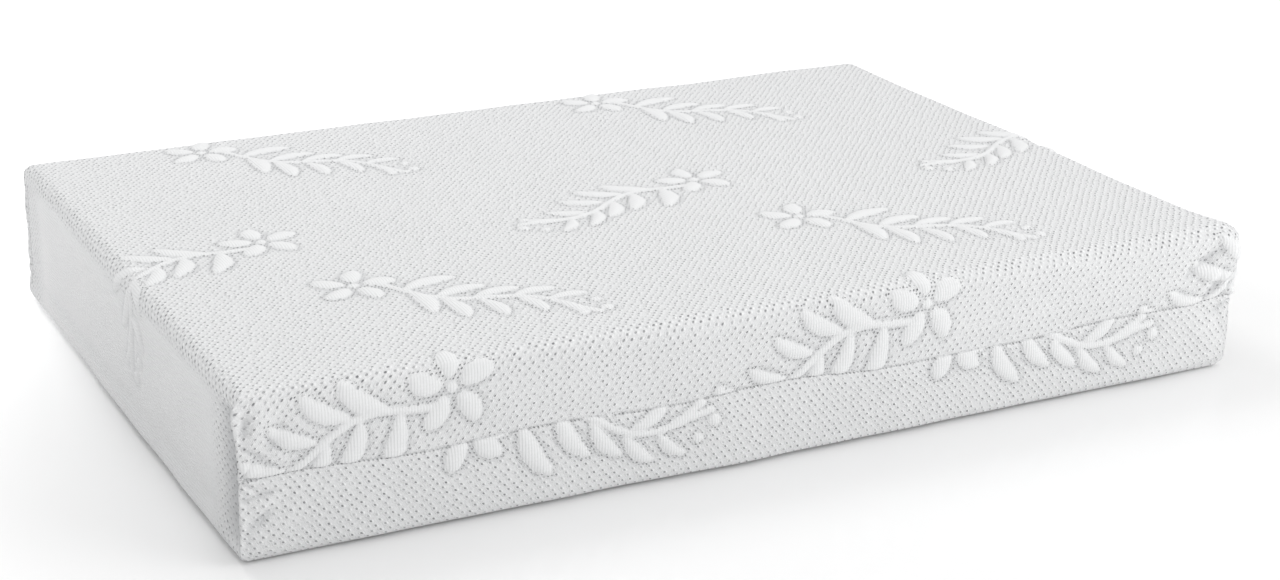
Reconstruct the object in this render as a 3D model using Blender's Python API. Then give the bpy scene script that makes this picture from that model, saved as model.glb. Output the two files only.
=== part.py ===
"""A cot-size memory foam mattress: a bonded foam block in a thin sleeve, inside a zipped knit cover.

Metres, +Z up. The origin is at the middle of the underside. X runs along the length: the cover is
folded whole round the -X end and its zip opens the +X end. The long front side faces -Y.
"""

import bmesh
import bpy
from math import cos, pi, sin

# Overall size of the covered mattress
LENGTH = 0.800
WIDTH = 0.560
HEIGHT = 0.118

# Clearance between pieces that touch or slide
FIT_GAP = 0.0003

# Cover: one panel of jacquard knit
FABRIC = 0.0025
RIM_RADIUS = 0.011
FOLD_END_CORNER = 0.005
ZIP_END_CORNER = 0.016
SEAM_HEIGHT = 0.060
SEAM_SLOT = 0.0018
CORNER_SEAM_INSET = 0.0065

# Inner sleeve and foam
SLEEVE = 0.0008
SLEEVE_HEM = 0.014
MEMORY_FOAM = 0.030
GLUE = 0.0005

# Zip, in the slot of the +X end
SLOT_HEIGHT = 0.016
SLOT_END_INSET = 0.028
TAPE = 0.0007
TAPE_WIDTH = 0.014
TAPE_OVERRUN = 0.006
LANE = 0.0012
COIL_WIDTH = 0.0024
COIL_HEIGHT = 0.0020
STOP_LENGTH = 0.0026
STOP_HEIGHT = 0.0025
SLIDER_LENGTH = 0.011
SLIDER_PLATE = 0.0009
SLIDER_FLANGE = 0.0010
SLIDER_POST = 0.0006
SLIDER_SUNK = 0.0007
BRIDGE_LENGTH = 0.0054
BRIDGE_WIDTH = 0.0016
BRIDGE_BAR = 0.0007
BRIDGE_HOLE = 0.0014
TAB_LENGTH = 0.016
TAB_WIDTH = 0.0060
TAB_THICKNESS = 0.0008
TAB_ARM = 0.0012
TAB_PIN = 0.0006
TAB_CLEARANCE = 0.002

# Sewn-in blank label on the zip end
LABEL_THICKNESS = 0.0006
LABEL_WIDTH = 0.034
LABEL_DROP = 0.028
LABEL_FROM_FRONT = 0.110

ARC_STEPS = 4
RIM_STEPS = 3

# Positions that follow from the sizes
FOLD_END = -LENGTH / 2
ZIP_END = LENGTH / 2 - LABEL_THICKNESS - FIT_GAP
HALF_WIDTH = WIDTH / 2
RECESS = 2 * FIT_GAP + COIL_HEIGHT + SLIDER_PLATE + BRIDGE_HOLE + BRIDGE_BAR + SLIDER_SUNK
TAPE_FACE = ZIP_END - RECESS
COIL_BASE = TAPE_FACE + FIT_GAP
COIL_TOP = COIL_BASE + COIL_HEIGHT
CHAIN_HALF = LANE / 2 + COIL_WIDTH
PLATE_BASE = COIL_TOP + FIT_GAP
PLATE_TOP = PLATE_BASE + SLIDER_PLATE
INNER_PLATE_TOP = TAPE_FACE - TAPE - FIT_GAP
INNER_PLATE_BASE = INNER_PLATE_TOP - SLIDER_PLATE
SLIDER_HALF_WIDTH = CHAIN_HALF + FIT_GAP + SLIDER_FLANGE
TAB_AXIS = PLATE_TOP + BRIDGE_HOLE / 2
SLOT_HALF = HALF_WIDTH - SLOT_END_INSET
SLIDER_END_ROOM = TAB_LENGTH + TAB_CLEARANCE
SLIDER_CLOSED = SLOT_HALF - SLIDER_END_ROOM
SLIDER_OPEN = -SLIDER_CLOSED
TAPE_REACH = SLOT_HALF + TAPE_OVERRUN
SLEEVE_END = ZIP_END - FABRIC - FIT_GAP


def material(name, colour, roughness, metallic=0.0):
    """A plain surface of one colour."""
    made = bpy.data.materials.new(name)
    made.use_nodes = True
    shader = made.node_tree.nodes["Principled BSDF"]
    shader.inputs["Base Color"].default_value = (*colour, 1.0)
    shader.inputs["Roughness"].default_value = roughness
    shader.inputs["Metallic"].default_value = metallic
    return made


KNIT = material("white_jacquard_knit", (0.80, 0.80, 0.80), 0.85)
STITCH = material("white_overlock_thread", (0.72, 0.72, 0.72), 0.70)
SLEEVE_KNIT = material("thin_white_jersey", (0.78, 0.77, 0.74), 0.90)
VISCO = material("cream_memory_foam", (0.83, 0.78, 0.62), 0.95)
CORE = material("pale_grey_support_foam", (0.62, 0.64, 0.66), 0.95)
ADHESIVE = material("dried_foam_glue", (0.80, 0.74, 0.56), 0.50)
TAPE_WEAVE = material("white_zip_tape", (0.78, 0.78, 0.78), 0.80)
NYLON = material("white_nylon_coil", (0.82, 0.82, 0.82), 0.35)
ZINC = material("nickel_plated_zinc", (0.62, 0.62, 0.63), 0.28, 1.0)
SATIN = material("white_satin_label", (0.84, 0.84, 0.83), 0.45)


def link(name, mesh, surface):
    """Puts a mesh in the scene as one named piece."""
    piece = bpy.data.objects.new(name, mesh)
    mesh.materials.append(surface)
    bpy.context.scene.collection.objects.link(piece)
    return piece


def rounded_outline(low, high, corners, inset):
    """Counterclockwise outline of a rectangle in X and Y; corners gives its -X and +X corner radii."""
    fold_corner, zip_corner = corners
    places = [(0, 1, zip_corner, -pi / 2), (0, 0, zip_corner, 0.0)]
    places += [(1, 0, fold_corner, pi / 2), (1, 1, fold_corner, pi)]
    points = []
    for at_low_x, at_low_y, radius, start in places:
        centre_x = low[0] + radius if at_low_x else high[0] - radius
        centre_y = low[1] + radius if at_low_y else high[1] - radius
        left_over = max(radius - inset, 0.0004)
        pulled = inset - (radius - left_over)
        shift_x = pulled if at_low_x else -pulled
        shift_y = pulled if at_low_y else -pulled
        for step in range(ARC_STEPS + 1):
            angle = start + step * pi / 2 / ARC_STEPS
            x = centre_x + shift_x + left_over * cos(angle)
            y = centre_y + shift_y + left_over * sin(angle)
            points.append((x, y))
    return points


def soft_block_mesh(name, low, high, corners, rim_bottom, rim_top):
    """A closed block with rounded upright corners and rounded top and bottom rims."""
    levels = []
    for step in range(RIM_STEPS + 1 if rim_bottom else 1):
        angle = step * pi / 2 / RIM_STEPS
        levels.append((rim_bottom * (1 - sin(angle)), low[2] + rim_bottom * (1 - cos(angle))))
    for step in range(RIM_STEPS + 1 if rim_top else 1):
        angle = (pi / 2 - step * pi / 2 / RIM_STEPS) if rim_top else 0.0
        levels.append((rim_top * (1 - sin(angle)), high[2] - rim_top * (1 - cos(angle))))
    shape = bmesh.new()
    loops = []
    for inset, height in levels:
        outline = rounded_outline(low, high, corners, inset)
        loops.append([shape.verts.new((x, y, height)) for x, y in outline])
    for below, above in zip(loops, loops[1:]):
        for here in range(len(below)):
            after = (here + 1) % len(below)
            shape.faces.new((below[here], below[after], above[after], above[here]))
    shape.faces.new(list(reversed(loops[0])))
    shape.faces.new(loops[-1])
    mesh = bpy.data.meshes.new(name)
    shape.to_mesh(mesh)
    shape.free()
    mesh.shade_smooth()
    mesh.set_sharp_from_angle(angle=0.7)
    return mesh


def box_mesh(name, boxes):
    """Closed boxes, each given by its low and high corner."""
    shape = bmesh.new()
    for low, high in boxes:
        made = bmesh.ops.create_cube(shape, size=1.0)["verts"]
        for vert in made:
            for axis in range(3):
                middle = (low[axis] + high[axis]) / 2
                vert.co[axis] = middle + vert.co[axis] * (high[axis] - low[axis])
    mesh = bpy.data.meshes.new(name)
    shape.to_mesh(mesh)
    shape.free()
    return mesh


def cutter(name, mesh):
    """A hidden helper solid that a Boolean reads."""
    guide = bpy.data.objects.new(name, mesh)
    guide.hide_render = True
    guide.display_type = "WIRE"
    bpy.context.scene.collection.objects.link(guide)
    return guide


def combine(piece, guide, operation):
    """Cuts the guide from the piece, or joins it on."""
    boolean = piece.modifiers.new(guide.name, "BOOLEAN")
    boolean.operation = operation
    boolean.solver = "EXACT"
    boolean.object = guide


def layer_bounds(inset, z_low, z_high, x_high):
    """Low and high corner of a block that lies inset from the cover's outside."""
    low = (FOLD_END + inset, -HALF_WIDTH + inset, z_low)
    high = (x_high, HALF_WIDTH - inset, z_high)
    return low, high


def inner_corners(inset):
    """Upright corner radii of a block that lies inset from the cover's outside."""
    return max(FOLD_END_CORNER - inset, 0.001), max(ZIP_END_CORNER - inset, 0.001)


def make_cover_panel():
    """One knit panel: over the top, round the -X end and under the bottom, its flaps forming the sides."""
    low, high = layer_bounds(0.0, 0.0, HEIGHT, ZIP_END)
    mesh = soft_block_mesh("cover_panel", low, high, inner_corners(0.0), RIM_RADIUS, RIM_RADIUS)
    panel = link("cover_panel", mesh, KNIT)
    low, high = layer_bounds(FABRIC, FABRIC, HEIGHT - FABRIC, ZIP_END - FABRIC)
    rim = RIM_RADIUS - FABRIC
    hollow = soft_block_mesh("cover_hollow", low, high, inner_corners(FABRIC), rim, rim)
    combine(panel, cutter("cover_hollow", hollow), "DIFFERENCE")
    combine(panel, cutter("zip_lips", zip_lips_mesh()), "UNION")
    reach = 0.01
    slot_low = (TAPE_FACE - reach, -SLOT_HALF, SEAM_HEIGHT - SLOT_HEIGHT / 2)
    slot_high = (ZIP_END + reach, SLOT_HALF, SEAM_HEIGHT + SLOT_HEIGHT / 2)
    combine(panel, cutter("zip_slot", box_mesh("zip_slot", [(slot_low, slot_high)])), "DIFFERENCE")
    side_low = (FOLD_END + CORNER_SEAM_INSET, -HALF_WIDTH - reach, SEAM_HEIGHT - SEAM_SLOT / 2)
    side_high = (ZIP_END + reach, HALF_WIDTH + reach, SEAM_HEIGHT + SEAM_SLOT / 2)
    combine(panel, cutter("side_slit", box_mesh("side_slit", [(side_low, side_high)])), "DIFFERENCE")
    for side in (-1, 1):
        line = side * (HALF_WIDTH - CORNER_SEAM_INSET)
        slit_low = (FOLD_END - reach, line - SEAM_SLOT / 2, RIM_RADIUS)
        slit_high = (FOLD_END + FABRIC + reach / 10, line + SEAM_SLOT / 2, HEIGHT - RIM_RADIUS)
        name = "corner_slit_front" if side < 0 else "corner_slit_back"
        combine(panel, cutter(name, box_mesh(name, [(slit_low, slit_high)])), "DIFFERENCE")


def zip_lips_mesh():
    """The panel's edges above and below the zip, turned in to meet the tapes."""
    boxes = []
    root = ZIP_END - FABRIC / 2
    tip = TAPE_FACE + FIT_GAP
    for side in (-1, 1):
        edge = SEAM_HEIGHT + side * SLOT_HEIGHT / 2
        bottom, top = sorted((edge, edge + side * FABRIC))
        boxes.append(((tip, -SLOT_HALF, bottom), (root, SLOT_HALF, top)))
    return box_mesh("zip_lips", boxes)


def make_side_seam(name, side):
    """The overlocked join of the upper and lower flaps along one long side and round to the zip."""
    thickness = SEAM_SLOT - 2 * FIT_GAP
    start = FOLD_END + CORNER_SEAM_INSET + FIT_GAP
    outside = [(start, -HALF_WIDTH)]
    inside = [(start, -HALF_WIDTH + FABRIC)]
    centre = (ZIP_END - ZIP_END_CORNER, -HALF_WIDTH + ZIP_END_CORNER)
    for step in range(ARC_STEPS + 1):
        angle = -pi / 2 + step * pi / 2 / ARC_STEPS
        for line, radius in ((outside, ZIP_END_CORNER), (inside, ZIP_END_CORNER - FABRIC)):
            line.append((centre[0] + radius * cos(angle), centre[1] + radius * sin(angle)))
    outside.append((ZIP_END, -SLOT_HALF - FIT_GAP))
    inside.append((ZIP_END - FABRIC, -SLOT_HALF - FIT_GAP))
    shape = bmesh.new()
    rings = []
    for (outer_x, outer_y), (inner_x, inner_y) in zip(outside, inside):
        ring = []
        corners = ((outer_x, outer_y, -1), (outer_x, outer_y, 1))
        corners += ((inner_x, inner_y, 1), (inner_x, inner_y, -1))
        for x, y, up in corners:
            ring.append(shape.verts.new((x, -side * y, SEAM_HEIGHT + up * thickness / 2)))
        rings.append(ring)
    for before, after in zip(rings, rings[1:]):
        for here in range(4):
            following = (here + 1) % 4
            shape.faces.new((before[here], before[following], after[following], after[here]))
    shape.faces.new(list(reversed(rings[0])))
    shape.faces.new(rings[-1])
    bmesh.ops.recalc_face_normals(shape, faces=shape.faces)
    mesh = bpy.data.meshes.new(name)
    shape.to_mesh(mesh)
    shape.free()
    link(name, mesh, STITCH)


def make_corner_seam(name, side):
    """The upright overlocked join of a side flap and the folded end."""
    line = side * (HALF_WIDTH - CORNER_SEAM_INSET)
    half = SEAM_SLOT / 2 - FIT_GAP
    low = (FOLD_END, line - half, RIM_RADIUS + FIT_GAP)
    high = (FOLD_END + FABRIC, line + half, HEIGHT - RIM_RADIUS - FIT_GAP)
    link(name, box_mesh(name, [(low, high)]), STITCH)


def make_inner_sleeve():
    """A thin jersey sleeve pulled over the foam, its open end hemmed inward."""
    inset = FABRIC + FIT_GAP
    rim = RIM_RADIUS - inset
    low, high = layer_bounds(inset, inset, HEIGHT - inset, SLEEVE_END)
    mesh = soft_block_mesh("inner_sleeve", low, high, inner_corners(inset), rim, rim)
    sleeve = link("inner_sleeve", mesh, SLEEVE_KNIT)
    inset = inset + SLEEVE
    rim = RIM_RADIUS - inset
    low, high = layer_bounds(inset, inset, HEIGHT - inset, SLEEVE_END - SLEEVE)
    hollow = soft_block_mesh("sleeve_hollow", low, high, inner_corners(inset), rim, rim)
    combine(sleeve, cutter("sleeve_hollow", hollow), "DIFFERENCE")
    mouth = inset + SLEEVE_HEM
    mouth_low = (SLEEVE_END - 0.005, -HALF_WIDTH + mouth, mouth)
    mouth_high = (SLEEVE_END + 0.005, HALF_WIDTH - mouth, HEIGHT - mouth)
    combine(sleeve, cutter("sleeve_mouth", box_mesh("sleeve_mouth", [(mouth_low, mouth_high)])), "DIFFERENCE")


def press_in_zip(foam):
    """The hollow that the zip's tapes and slider press into the end of the foam."""
    floor = INNER_PLATE_BASE - 2 * FIT_GAP
    half_height = LANE / 2 + TAPE_WIDTH + 2 * FIT_GAP
    half_width = TAPE_REACH + 2 * FIT_GAP
    low = (floor, -half_width, SEAM_HEIGHT - half_height)
    high = (ZIP_END, half_width, SEAM_HEIGHT + half_height)
    name = foam.name + "_zip_hollow"
    combine(foam, cutter(name, box_mesh(name, [(low, high)])), "DIFFERENCE")


def make_foam():
    """The support core, the film of glue on it and the memory foam layer on top."""
    inset = FABRIC + SLEEVE + 2 * FIT_GAP
    rim = RIM_RADIUS - inset
    end = SLEEVE_END - SLEEVE - FIT_GAP
    corners = inner_corners(inset)
    top = HEIGHT - inset
    visco_base = top - MEMORY_FOAM
    glue_base = visco_base - FIT_GAP - GLUE
    core_top = glue_base - FIT_GAP
    low, high = layer_bounds(inset, inset, core_top, end)
    press_in_zip(link("support_core", soft_block_mesh("support_core", low, high, corners, rim, 0.0), CORE))
    low, high = layer_bounds(inset + rim, glue_base, glue_base + GLUE, end - rim)
    press_in_zip(link("glue_film", soft_block_mesh("glue_film", low, high, corners, 0.0, 0.0), ADHESIVE))
    low, high = layer_bounds(inset, visco_base, top, end)
    visco = soft_block_mesh("memory_foam_layer", low, high, corners, 0.0, rim)
    press_in_zip(link("memory_foam_layer", visco, VISCO))


def make_zip_tapes_and_coils():
    """Two tapes sewn behind the turned-in edges, each with a row of nylon coil beside the middle lane."""
    for name, side in (("upper", 1), ("lower", -1)):
        near = SEAM_HEIGHT + side * LANE / 2
        bottom, top = sorted((near, near + side * TAPE_WIDTH))
        tape = ((TAPE_FACE - TAPE, -TAPE_REACH, bottom), (TAPE_FACE, TAPE_REACH, top))
        link("zip_tape_" + name, box_mesh("zip_tape_" + name, [tape]), TAPE_WEAVE)
        bottom, top = sorted((near, near + side * COIL_WIDTH))
        start = bottom_stop_end() + FIT_GAP
        finish = top_stop_start() - FIT_GAP
        coil = ((COIL_BASE, start, bottom), (COIL_TOP, finish, top))
        link("zip_coil_" + name, box_mesh("zip_coil_" + name, [coil]), NYLON)


def bottom_stop_end():
    """Where the bottom stop meets the opened slider."""
    return SLIDER_OPEN - SLIDER_LENGTH / 2 - FIT_GAP


def top_stop_start():
    """Where the top stops meet the closed slider."""
    return SLIDER_CLOSED + SLIDER_LENGTH / 2 + FIT_GAP


def make_zip_stops():
    """A bottom stop clamped across both tapes, and a top stop clamped to each tape."""
    end = bottom_stop_end()
    low = (COIL_BASE, end - STOP_LENGTH, SEAM_HEIGHT - CHAIN_HALF)
    high = (COIL_BASE + STOP_HEIGHT, end, SEAM_HEIGHT + CHAIN_HALF)
    link("zip_bottom_stop", box_mesh("zip_bottom_stop", [(low, high)]), ZINC)
    start = top_stop_start()
    for name, side in (("upper", 1), ("lower", -1)):
        bottom, top = sorted((SEAM_HEIGHT + side * LANE / 2, SEAM_HEIGHT + side * CHAIN_HALF))
        low = (COIL_BASE, start, bottom)
        high = (COIL_BASE + STOP_HEIGHT, start + STOP_LENGTH, top)
        link("zip_top_stop_" + name, box_mesh("zip_top_stop_" + name, [(low, high)]), ZINC)


def make_zip_slider():
    """The slider: an outer plate with side flanges, a post in the lane, an inner plate and a bridge."""
    half = SLIDER_LENGTH / 2
    width = SLIDER_HALF_WIDTH
    outer = box_mesh("zip_slider", [((PLATE_BASE, -half, -width), (PLATE_TOP, half, width))])
    slider = link("zip_slider", outer, ZINC)
    sunk = SLIDER_PLATE / 2
    flange_base = TAPE_FACE + FIT_GAP
    joined = []
    for side in (-1, 1):
        bottom, top = sorted((side * (width - SLIDER_FLANGE), side * width))
        joined.append(((flange_base, -half, bottom), (PLATE_BASE + sunk, half, top)))
    joined.append(((INNER_PLATE_BASE, -half, -width), (INNER_PLATE_TOP, half, width)))
    post = (INNER_PLATE_BASE + sunk, half - SLIDER_LENGTH / 3, -SLIDER_POST / 2)
    joined.append((post, (PLATE_BASE + sunk, half - SLIDER_LENGTH / 12, SLIDER_POST / 2)))
    bridge_top = PLATE_TOP + BRIDGE_HOLE + BRIDGE_BAR
    foot = (BRIDGE_LENGTH - 2 * BRIDGE_HOLE) / 2
    for end in (-1, 1):
        near, far = sorted((end * (BRIDGE_LENGTH / 2 - foot), end * BRIDGE_LENGTH / 2))
        low = (PLATE_TOP - sunk, near, -BRIDGE_WIDTH / 2)
        joined.append((low, (bridge_top - BRIDGE_BAR / 2, far, BRIDGE_WIDTH / 2)))
    low = (PLATE_TOP + BRIDGE_HOLE, -BRIDGE_LENGTH / 2, -BRIDGE_WIDTH / 2)
    joined.append((low, (bridge_top, BRIDGE_LENGTH / 2, BRIDGE_WIDTH / 2)))
    for number, box in enumerate(joined):
        name = "slider_part_" + str(number)
        guide = cutter(name, box_mesh(name, [box]))
        guide.location = (0.0, SLIDER_CLOSED, SEAM_HEIGHT)
        combine(slider, guide, "UNION")
    slider.location = (0.0, SLIDER_CLOSED, SEAM_HEIGHT)


def make_zip_pull_tab():
    """The pull tab, its pin through the bridge; it lies over the closed chain at rest."""
    arm_inner = BRIDGE_WIDTH / 2 + FIT_GAP
    arm_outer = arm_inner + TAB_ARM
    window = BRIDGE_LENGTH / 2 + 2 * FIT_GAP
    thick = TAB_THICKNESS / 2
    low = (-thick, -TAB_LENGTH, -TAB_WIDTH / 2)
    high = (thick, -window, TAB_WIDTH / 2)
    tab = link("zip_pull_tab", box_mesh("zip_pull_tab", [(low, high)]), ZINC)
    joined = []
    for side in (-1, 1):
        bottom, top = sorted((side * arm_inner, side * arm_outer))
        joined.append(((-thick * 0.9, -window - TAB_ARM, bottom), (thick * 0.9, TAB_PIN / 2, top)))
    pin = TAB_PIN / 2
    joined.append(((-pin, -pin * 0.9, -arm_outer + TAB_ARM / 2), (pin, pin * 0.9, arm_outer - TAB_ARM / 2)))
    for number, box in enumerate(joined):
        name = "tab_part_" + str(number)
        guide = cutter(name, box_mesh(name, [box]))
        guide.location = (TAB_AXIS, SLIDER_CLOSED, SEAM_HEIGHT)
        combine(tab, guide, "UNION")
    tab.location = (TAB_AXIS, SLIDER_CLOSED, SEAM_HEIGHT)


def make_label():
    """A blank folded satin label, sewn in under the zip and lying on the end flap."""
    top = SEAM_HEIGHT - SLOT_HEIGHT / 2 - FIT_GAP
    start = -HALF_WIDTH + LABEL_FROM_FRONT
    low = (ZIP_END + FIT_GAP, start, top - LABEL_DROP)
    high = (ZIP_END + FIT_GAP + LABEL_THICKNESS, start + LABEL_WIDTH, top)
    link("care_label", box_mesh("care_label", [(low, high)]), SATIN)


for old in list(bpy.data.objects):
    bpy.data.objects.remove(old)

make_foam()
make_inner_sleeve()
make_cover_panel()
make_side_seam("side_seam_front", -1)
make_side_seam("side_seam_back", 1)
make_corner_seam("corner_seam_front", -1)
make_corner_seam("corner_seam_back", 1)
make_zip_tapes_and_coils()
make_zip_stops()
make_zip_slider()
make_zip_pull_tab()
make_label()
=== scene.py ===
from math import cos, pi, radians, sin, tau

import bmesh
import bpy
import numpy as np
from mathutils import Matrix, Vector


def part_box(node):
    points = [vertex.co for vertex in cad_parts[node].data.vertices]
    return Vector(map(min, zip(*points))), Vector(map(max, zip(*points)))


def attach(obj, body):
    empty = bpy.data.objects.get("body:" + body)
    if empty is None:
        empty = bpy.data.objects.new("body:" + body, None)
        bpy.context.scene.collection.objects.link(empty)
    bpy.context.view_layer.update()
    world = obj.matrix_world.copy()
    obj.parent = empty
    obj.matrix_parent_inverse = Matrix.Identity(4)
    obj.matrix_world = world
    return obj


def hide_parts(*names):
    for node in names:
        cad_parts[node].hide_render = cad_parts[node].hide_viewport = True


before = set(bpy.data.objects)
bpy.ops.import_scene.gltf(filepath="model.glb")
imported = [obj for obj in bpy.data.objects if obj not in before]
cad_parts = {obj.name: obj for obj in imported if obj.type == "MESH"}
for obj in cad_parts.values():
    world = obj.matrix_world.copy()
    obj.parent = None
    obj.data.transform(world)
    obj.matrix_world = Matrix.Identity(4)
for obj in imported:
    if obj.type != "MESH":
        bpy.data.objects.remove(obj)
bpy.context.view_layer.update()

# --- Foam block ------------------------------------------------------------------------------
# The support foam and the memory foam, cut from slabs and bonded by a film of sprayed glue.
# Open-cell polyurethane, grey below and cream above. The tight cover presses its seams into them.

cover_low, cover_high = (np.array(corner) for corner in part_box("cover_panel"))
core_low, core_high = (np.array(corner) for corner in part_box("support_core"))
visco_low, visco_high = (np.array(corner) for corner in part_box("memory_foam_layer"))
upper_tape_low, upper_tape_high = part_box("zip_tape_upper")
lower_tape_low, lower_tape_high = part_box("zip_tape_lower")

seam_height = (upper_tape_low.z + lower_tape_high.z) / 2
foam_pitch = 0.009
layer_pitch = 0.014
cut_edge = 0.0012
foam_rim = 0.0071


def ease(low, high, value):
    """0 below low, 1 above high, with a smooth rise between."""
    share = np.clip((value - low) / (high - low), 0.0, 1.0)
    return share * share * (3 - 2 * share)


def xyz(x, y, z):
    """Points from their places along the three axes, each an array or one number for all."""
    return np.stack(np.broadcast_arrays(x, y, z), 1)


def dome(value, centre, reach):
    """A smooth rise to 1 at the centre that dies out over the reach."""
    return np.exp(-(((value - centre) / reach) ** 2))


def spaced(*stops):
    """Grid places through the stops. Each stop is (place, step from there to the next stop)."""
    places = []
    for (start, step), (stop, _) in zip(stops, stops[1:]):
        places.extend(np.linspace(start, stop, max(1, round((stop - start) / step)), endpoint=False))
    places.append(stops[-1][0])
    return np.array(places)


def turned(distance, rim):
    """Where cloth lies past the middle of a rim: how far it has gone in, and how far it is short."""
    rim = max(rim, 1e-6)
    bend = pi / 4 * (1 + np.minimum(distance / (rim * pi / 4), 1.0))
    return rim * (1 - np.cos(bend)) + np.maximum(distance - rim * pi / 4, 0.0), rim * (1 - np.sin(bend))


def unrolled(length, rim_a, rim_b):
    """The length of cloth across a side, from the middle of one rim to the middle of the other."""
    return length - (rim_a + rim_b) * (1 - pi / 4)


def unrolled_place(off_middle, half, rim):
    """The place on the cloth, from the middle, of a point on an upright wall."""
    corner_in = rim * (1 - cos(pi / 4))
    gone_in = corner_in + (1 - off_middle / half) * (half - corner_in)
    return unrolled(2 * half, rim, rim) / 2 - (gone_in - rim * (1 - pi / 4))


def block_grid(xs, ys, zs, opening=None, sparse=1):
    """A closed block's points and faces on the given grid places. Each face has its side's name.
    opening is (y from, y to, z from, z to) on the +X side, and sparse thins the underside."""
    nx, ny, nz = len(xs), len(ys), len(zs)
    top = np.arange(nx * ny).reshape(nx, ny)
    flat = [np.stack([np.repeat(xs, ny), np.tile(ys, nx), np.full(nx * ny, zs[-1])], 1)]
    i_ring = np.concatenate([np.arange(nx - 1), np.full(ny - 1, nx - 1),
                             np.arange(nx - 1, 0, -1), np.zeros(ny - 1)])
    j_ring = np.concatenate([np.zeros(nx - 1), np.arange(ny - 1),
                             np.full(nx - 1, ny - 1), np.arange(ny - 1, 0, -1)])
    i_ring, j_ring = i_ring.astype(int), j_ring.astype(int)
    around = len(i_ring)
    rings = [nx * ny + k * around + np.arange(around) for k in range(nz - 1)] + [top[i_ring, j_ring]]
    for k in range(nz - 1):
        flat.append(np.stack([xs[i_ring], ys[j_ring], np.full(around, zs[k])], 1))
    count = nx * ny + (nz - 1) * around
    quads = [np.stack([top[:-1, :-1], top[1:, :-1], top[1:, 1:], top[:-1, 1:]], -1).reshape(-1, 4)]
    sides = [np.full(len(quads[0]), "top")]
    side_of_ring = np.repeat(["front", "zip", "back", "fold"], [nx - 1, ny - 1, nx - 1, ny - 1])
    loop = []
    keep = np.ones((nz - 1, around), bool)
    if opening:
        j_from, j_to = (int(np.argmin(abs(ys - place))) for place in opening[:2])
        k_from, k_to = (int(np.argmin(abs(zs - place))) for place in opening[2:])
        keep[k_from:k_to, nx - 1 + j_from:nx - 1 + j_to] = False
        loop = [(j, k_from) for j in range(j_from, j_to)] + [(j_to, k) for k in range(k_from, k_to)]
        loop += [(j, k_to) for j in range(j_to, j_from, -1)] + [(j_from, k) for k in range(k_to, k_from, -1)]
        loop = [int(rings[k][nx - 1 + j]) for j, k in loop]
    for k in range(nz - 1):
        after = np.roll(rings[k], -1)
        above = np.roll(rings[k + 1], -1)
        quads.append(np.stack([rings[k], after, above, rings[k + 1]], 1)[keep[k]])
        sides.append(side_of_ring[keep[k]])
    faces = np.concatenate(quads).tolist()
    sides = np.concatenate(sides).tolist()
    ids = {(int(i), int(j)): int(rings[0][p]) for p, (i, j) in enumerate(zip(i_ring, j_ring))}
    thin_x, thin_y = (thinned(places, sparse) for places in (xs, ys))
    under = []
    for i in thin_x[1:-1]:
        for j in thin_y[1:-1]:
            ids[i, j] = count + len(under)
            under.append((xs[i], ys[j], zs[0]))
    flat.append(np.array(under).reshape(-1, 3))
    for i0, i1 in zip(thin_x, thin_x[1:]):
        for j0, j1 in zip(thin_y, thin_y[1:]):
            rim = [(i0, j) for j in (range(j0, j1) if i0 == 0 else (j0,))]
            rim += [(i, j1) for i in (range(i0, i1) if j1 == ny - 1 else (i0,))]
            rim += [(i1, j) for j in (range(j1, j0, -1) if i1 == nx - 1 else (j1,))]
            rim += [(i, j0) for i in (range(i1, i0, -1) if j0 == 0 else (i1,))]
            faces.append([ids[place] for place in rim])
            sides.append("bottom")
    return {"flat": np.concatenate(flat), "faces": faces, "sides": np.array(sides), "loop": loop}


def thinned(places, sparse):
    """Indexes of every sparse-th place, with all of those in the rims at both ends."""
    inner = range(6, len(places) - 6, sparse) if sparse > 1 else range(len(places))
    kept = set(inner) | set(range(min(7, len(places)))) | set(range(max(0, len(places) - 6), len(places)))
    return sorted(kept)


def block_points(flat, low, high, rim_bottom, rim_top, corners):
    """Rolls the flat grid round a block: rounded rims, and upright corners at the -X and +X end."""
    rim = max(rim_bottom, rim_top)
    corner_in = rim * (1 - cos(pi / 4))
    middle, half = (low + high) / 2, (high - low) / 2
    first, last = flat.min(0), flat.max(0)
    near = np.minimum(flat - first, last - flat)
    to_wall = np.minimum(near[:, 0], near[:, 1])
    depth_top, in_top = turned(last[2] - flat[:, 2], rim_top)
    depth_bottom, in_bottom = turned(flat[:, 2] - first[2], rim_bottom)
    at_top = flat[:, 2] > last[2] - 1e-9
    at_bottom = flat[:, 2] < first[2] + 1e-9
    depth_top = np.where(at_top, turned(to_wall, rim_top)[1], depth_top)
    depth_bottom = np.where(at_bottom, turned(to_wall, rim_bottom)[1], depth_bottom)
    upper = flat[:, 2] > (first[2] + last[2]) / 2
    z = np.where(upper, high[2] - depth_top, low[2] + depth_bottom)
    inset = np.where(upper, in_top, in_bottom)
    spread = []
    for axis in (0, 1):
        share = (turned(near[:, axis], rim)[0] - corner_in) / (half[axis] - corner_in)
        spread.append((half[axis] - inset) * (1 - np.clip(share, 0.0, 1.0)))
    radius = np.where(flat[:, 0] < (first[0] + last[0]) / 2, *corners)
    past = [spread[axis] - (half[axis] - inset - radius) for axis in (0, 1)]
    both = (past[0] > 0) & (past[1] > 0)
    shrink = np.where(both, np.maximum(*past) / np.maximum(np.hypot(*past), 1e-9), 1.0)
    sign = np.sign(flat[:, :2] - (first + last)[:2] / 2)
    out = []
    for axis in (0, 1):
        pulled = np.where(both, half[axis] - inset - radius + past[axis] * shrink, spread[axis])
        out.append(middle[axis] + sign[:, axis] * pulled)
    return np.stack([*out, z], 1)


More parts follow.
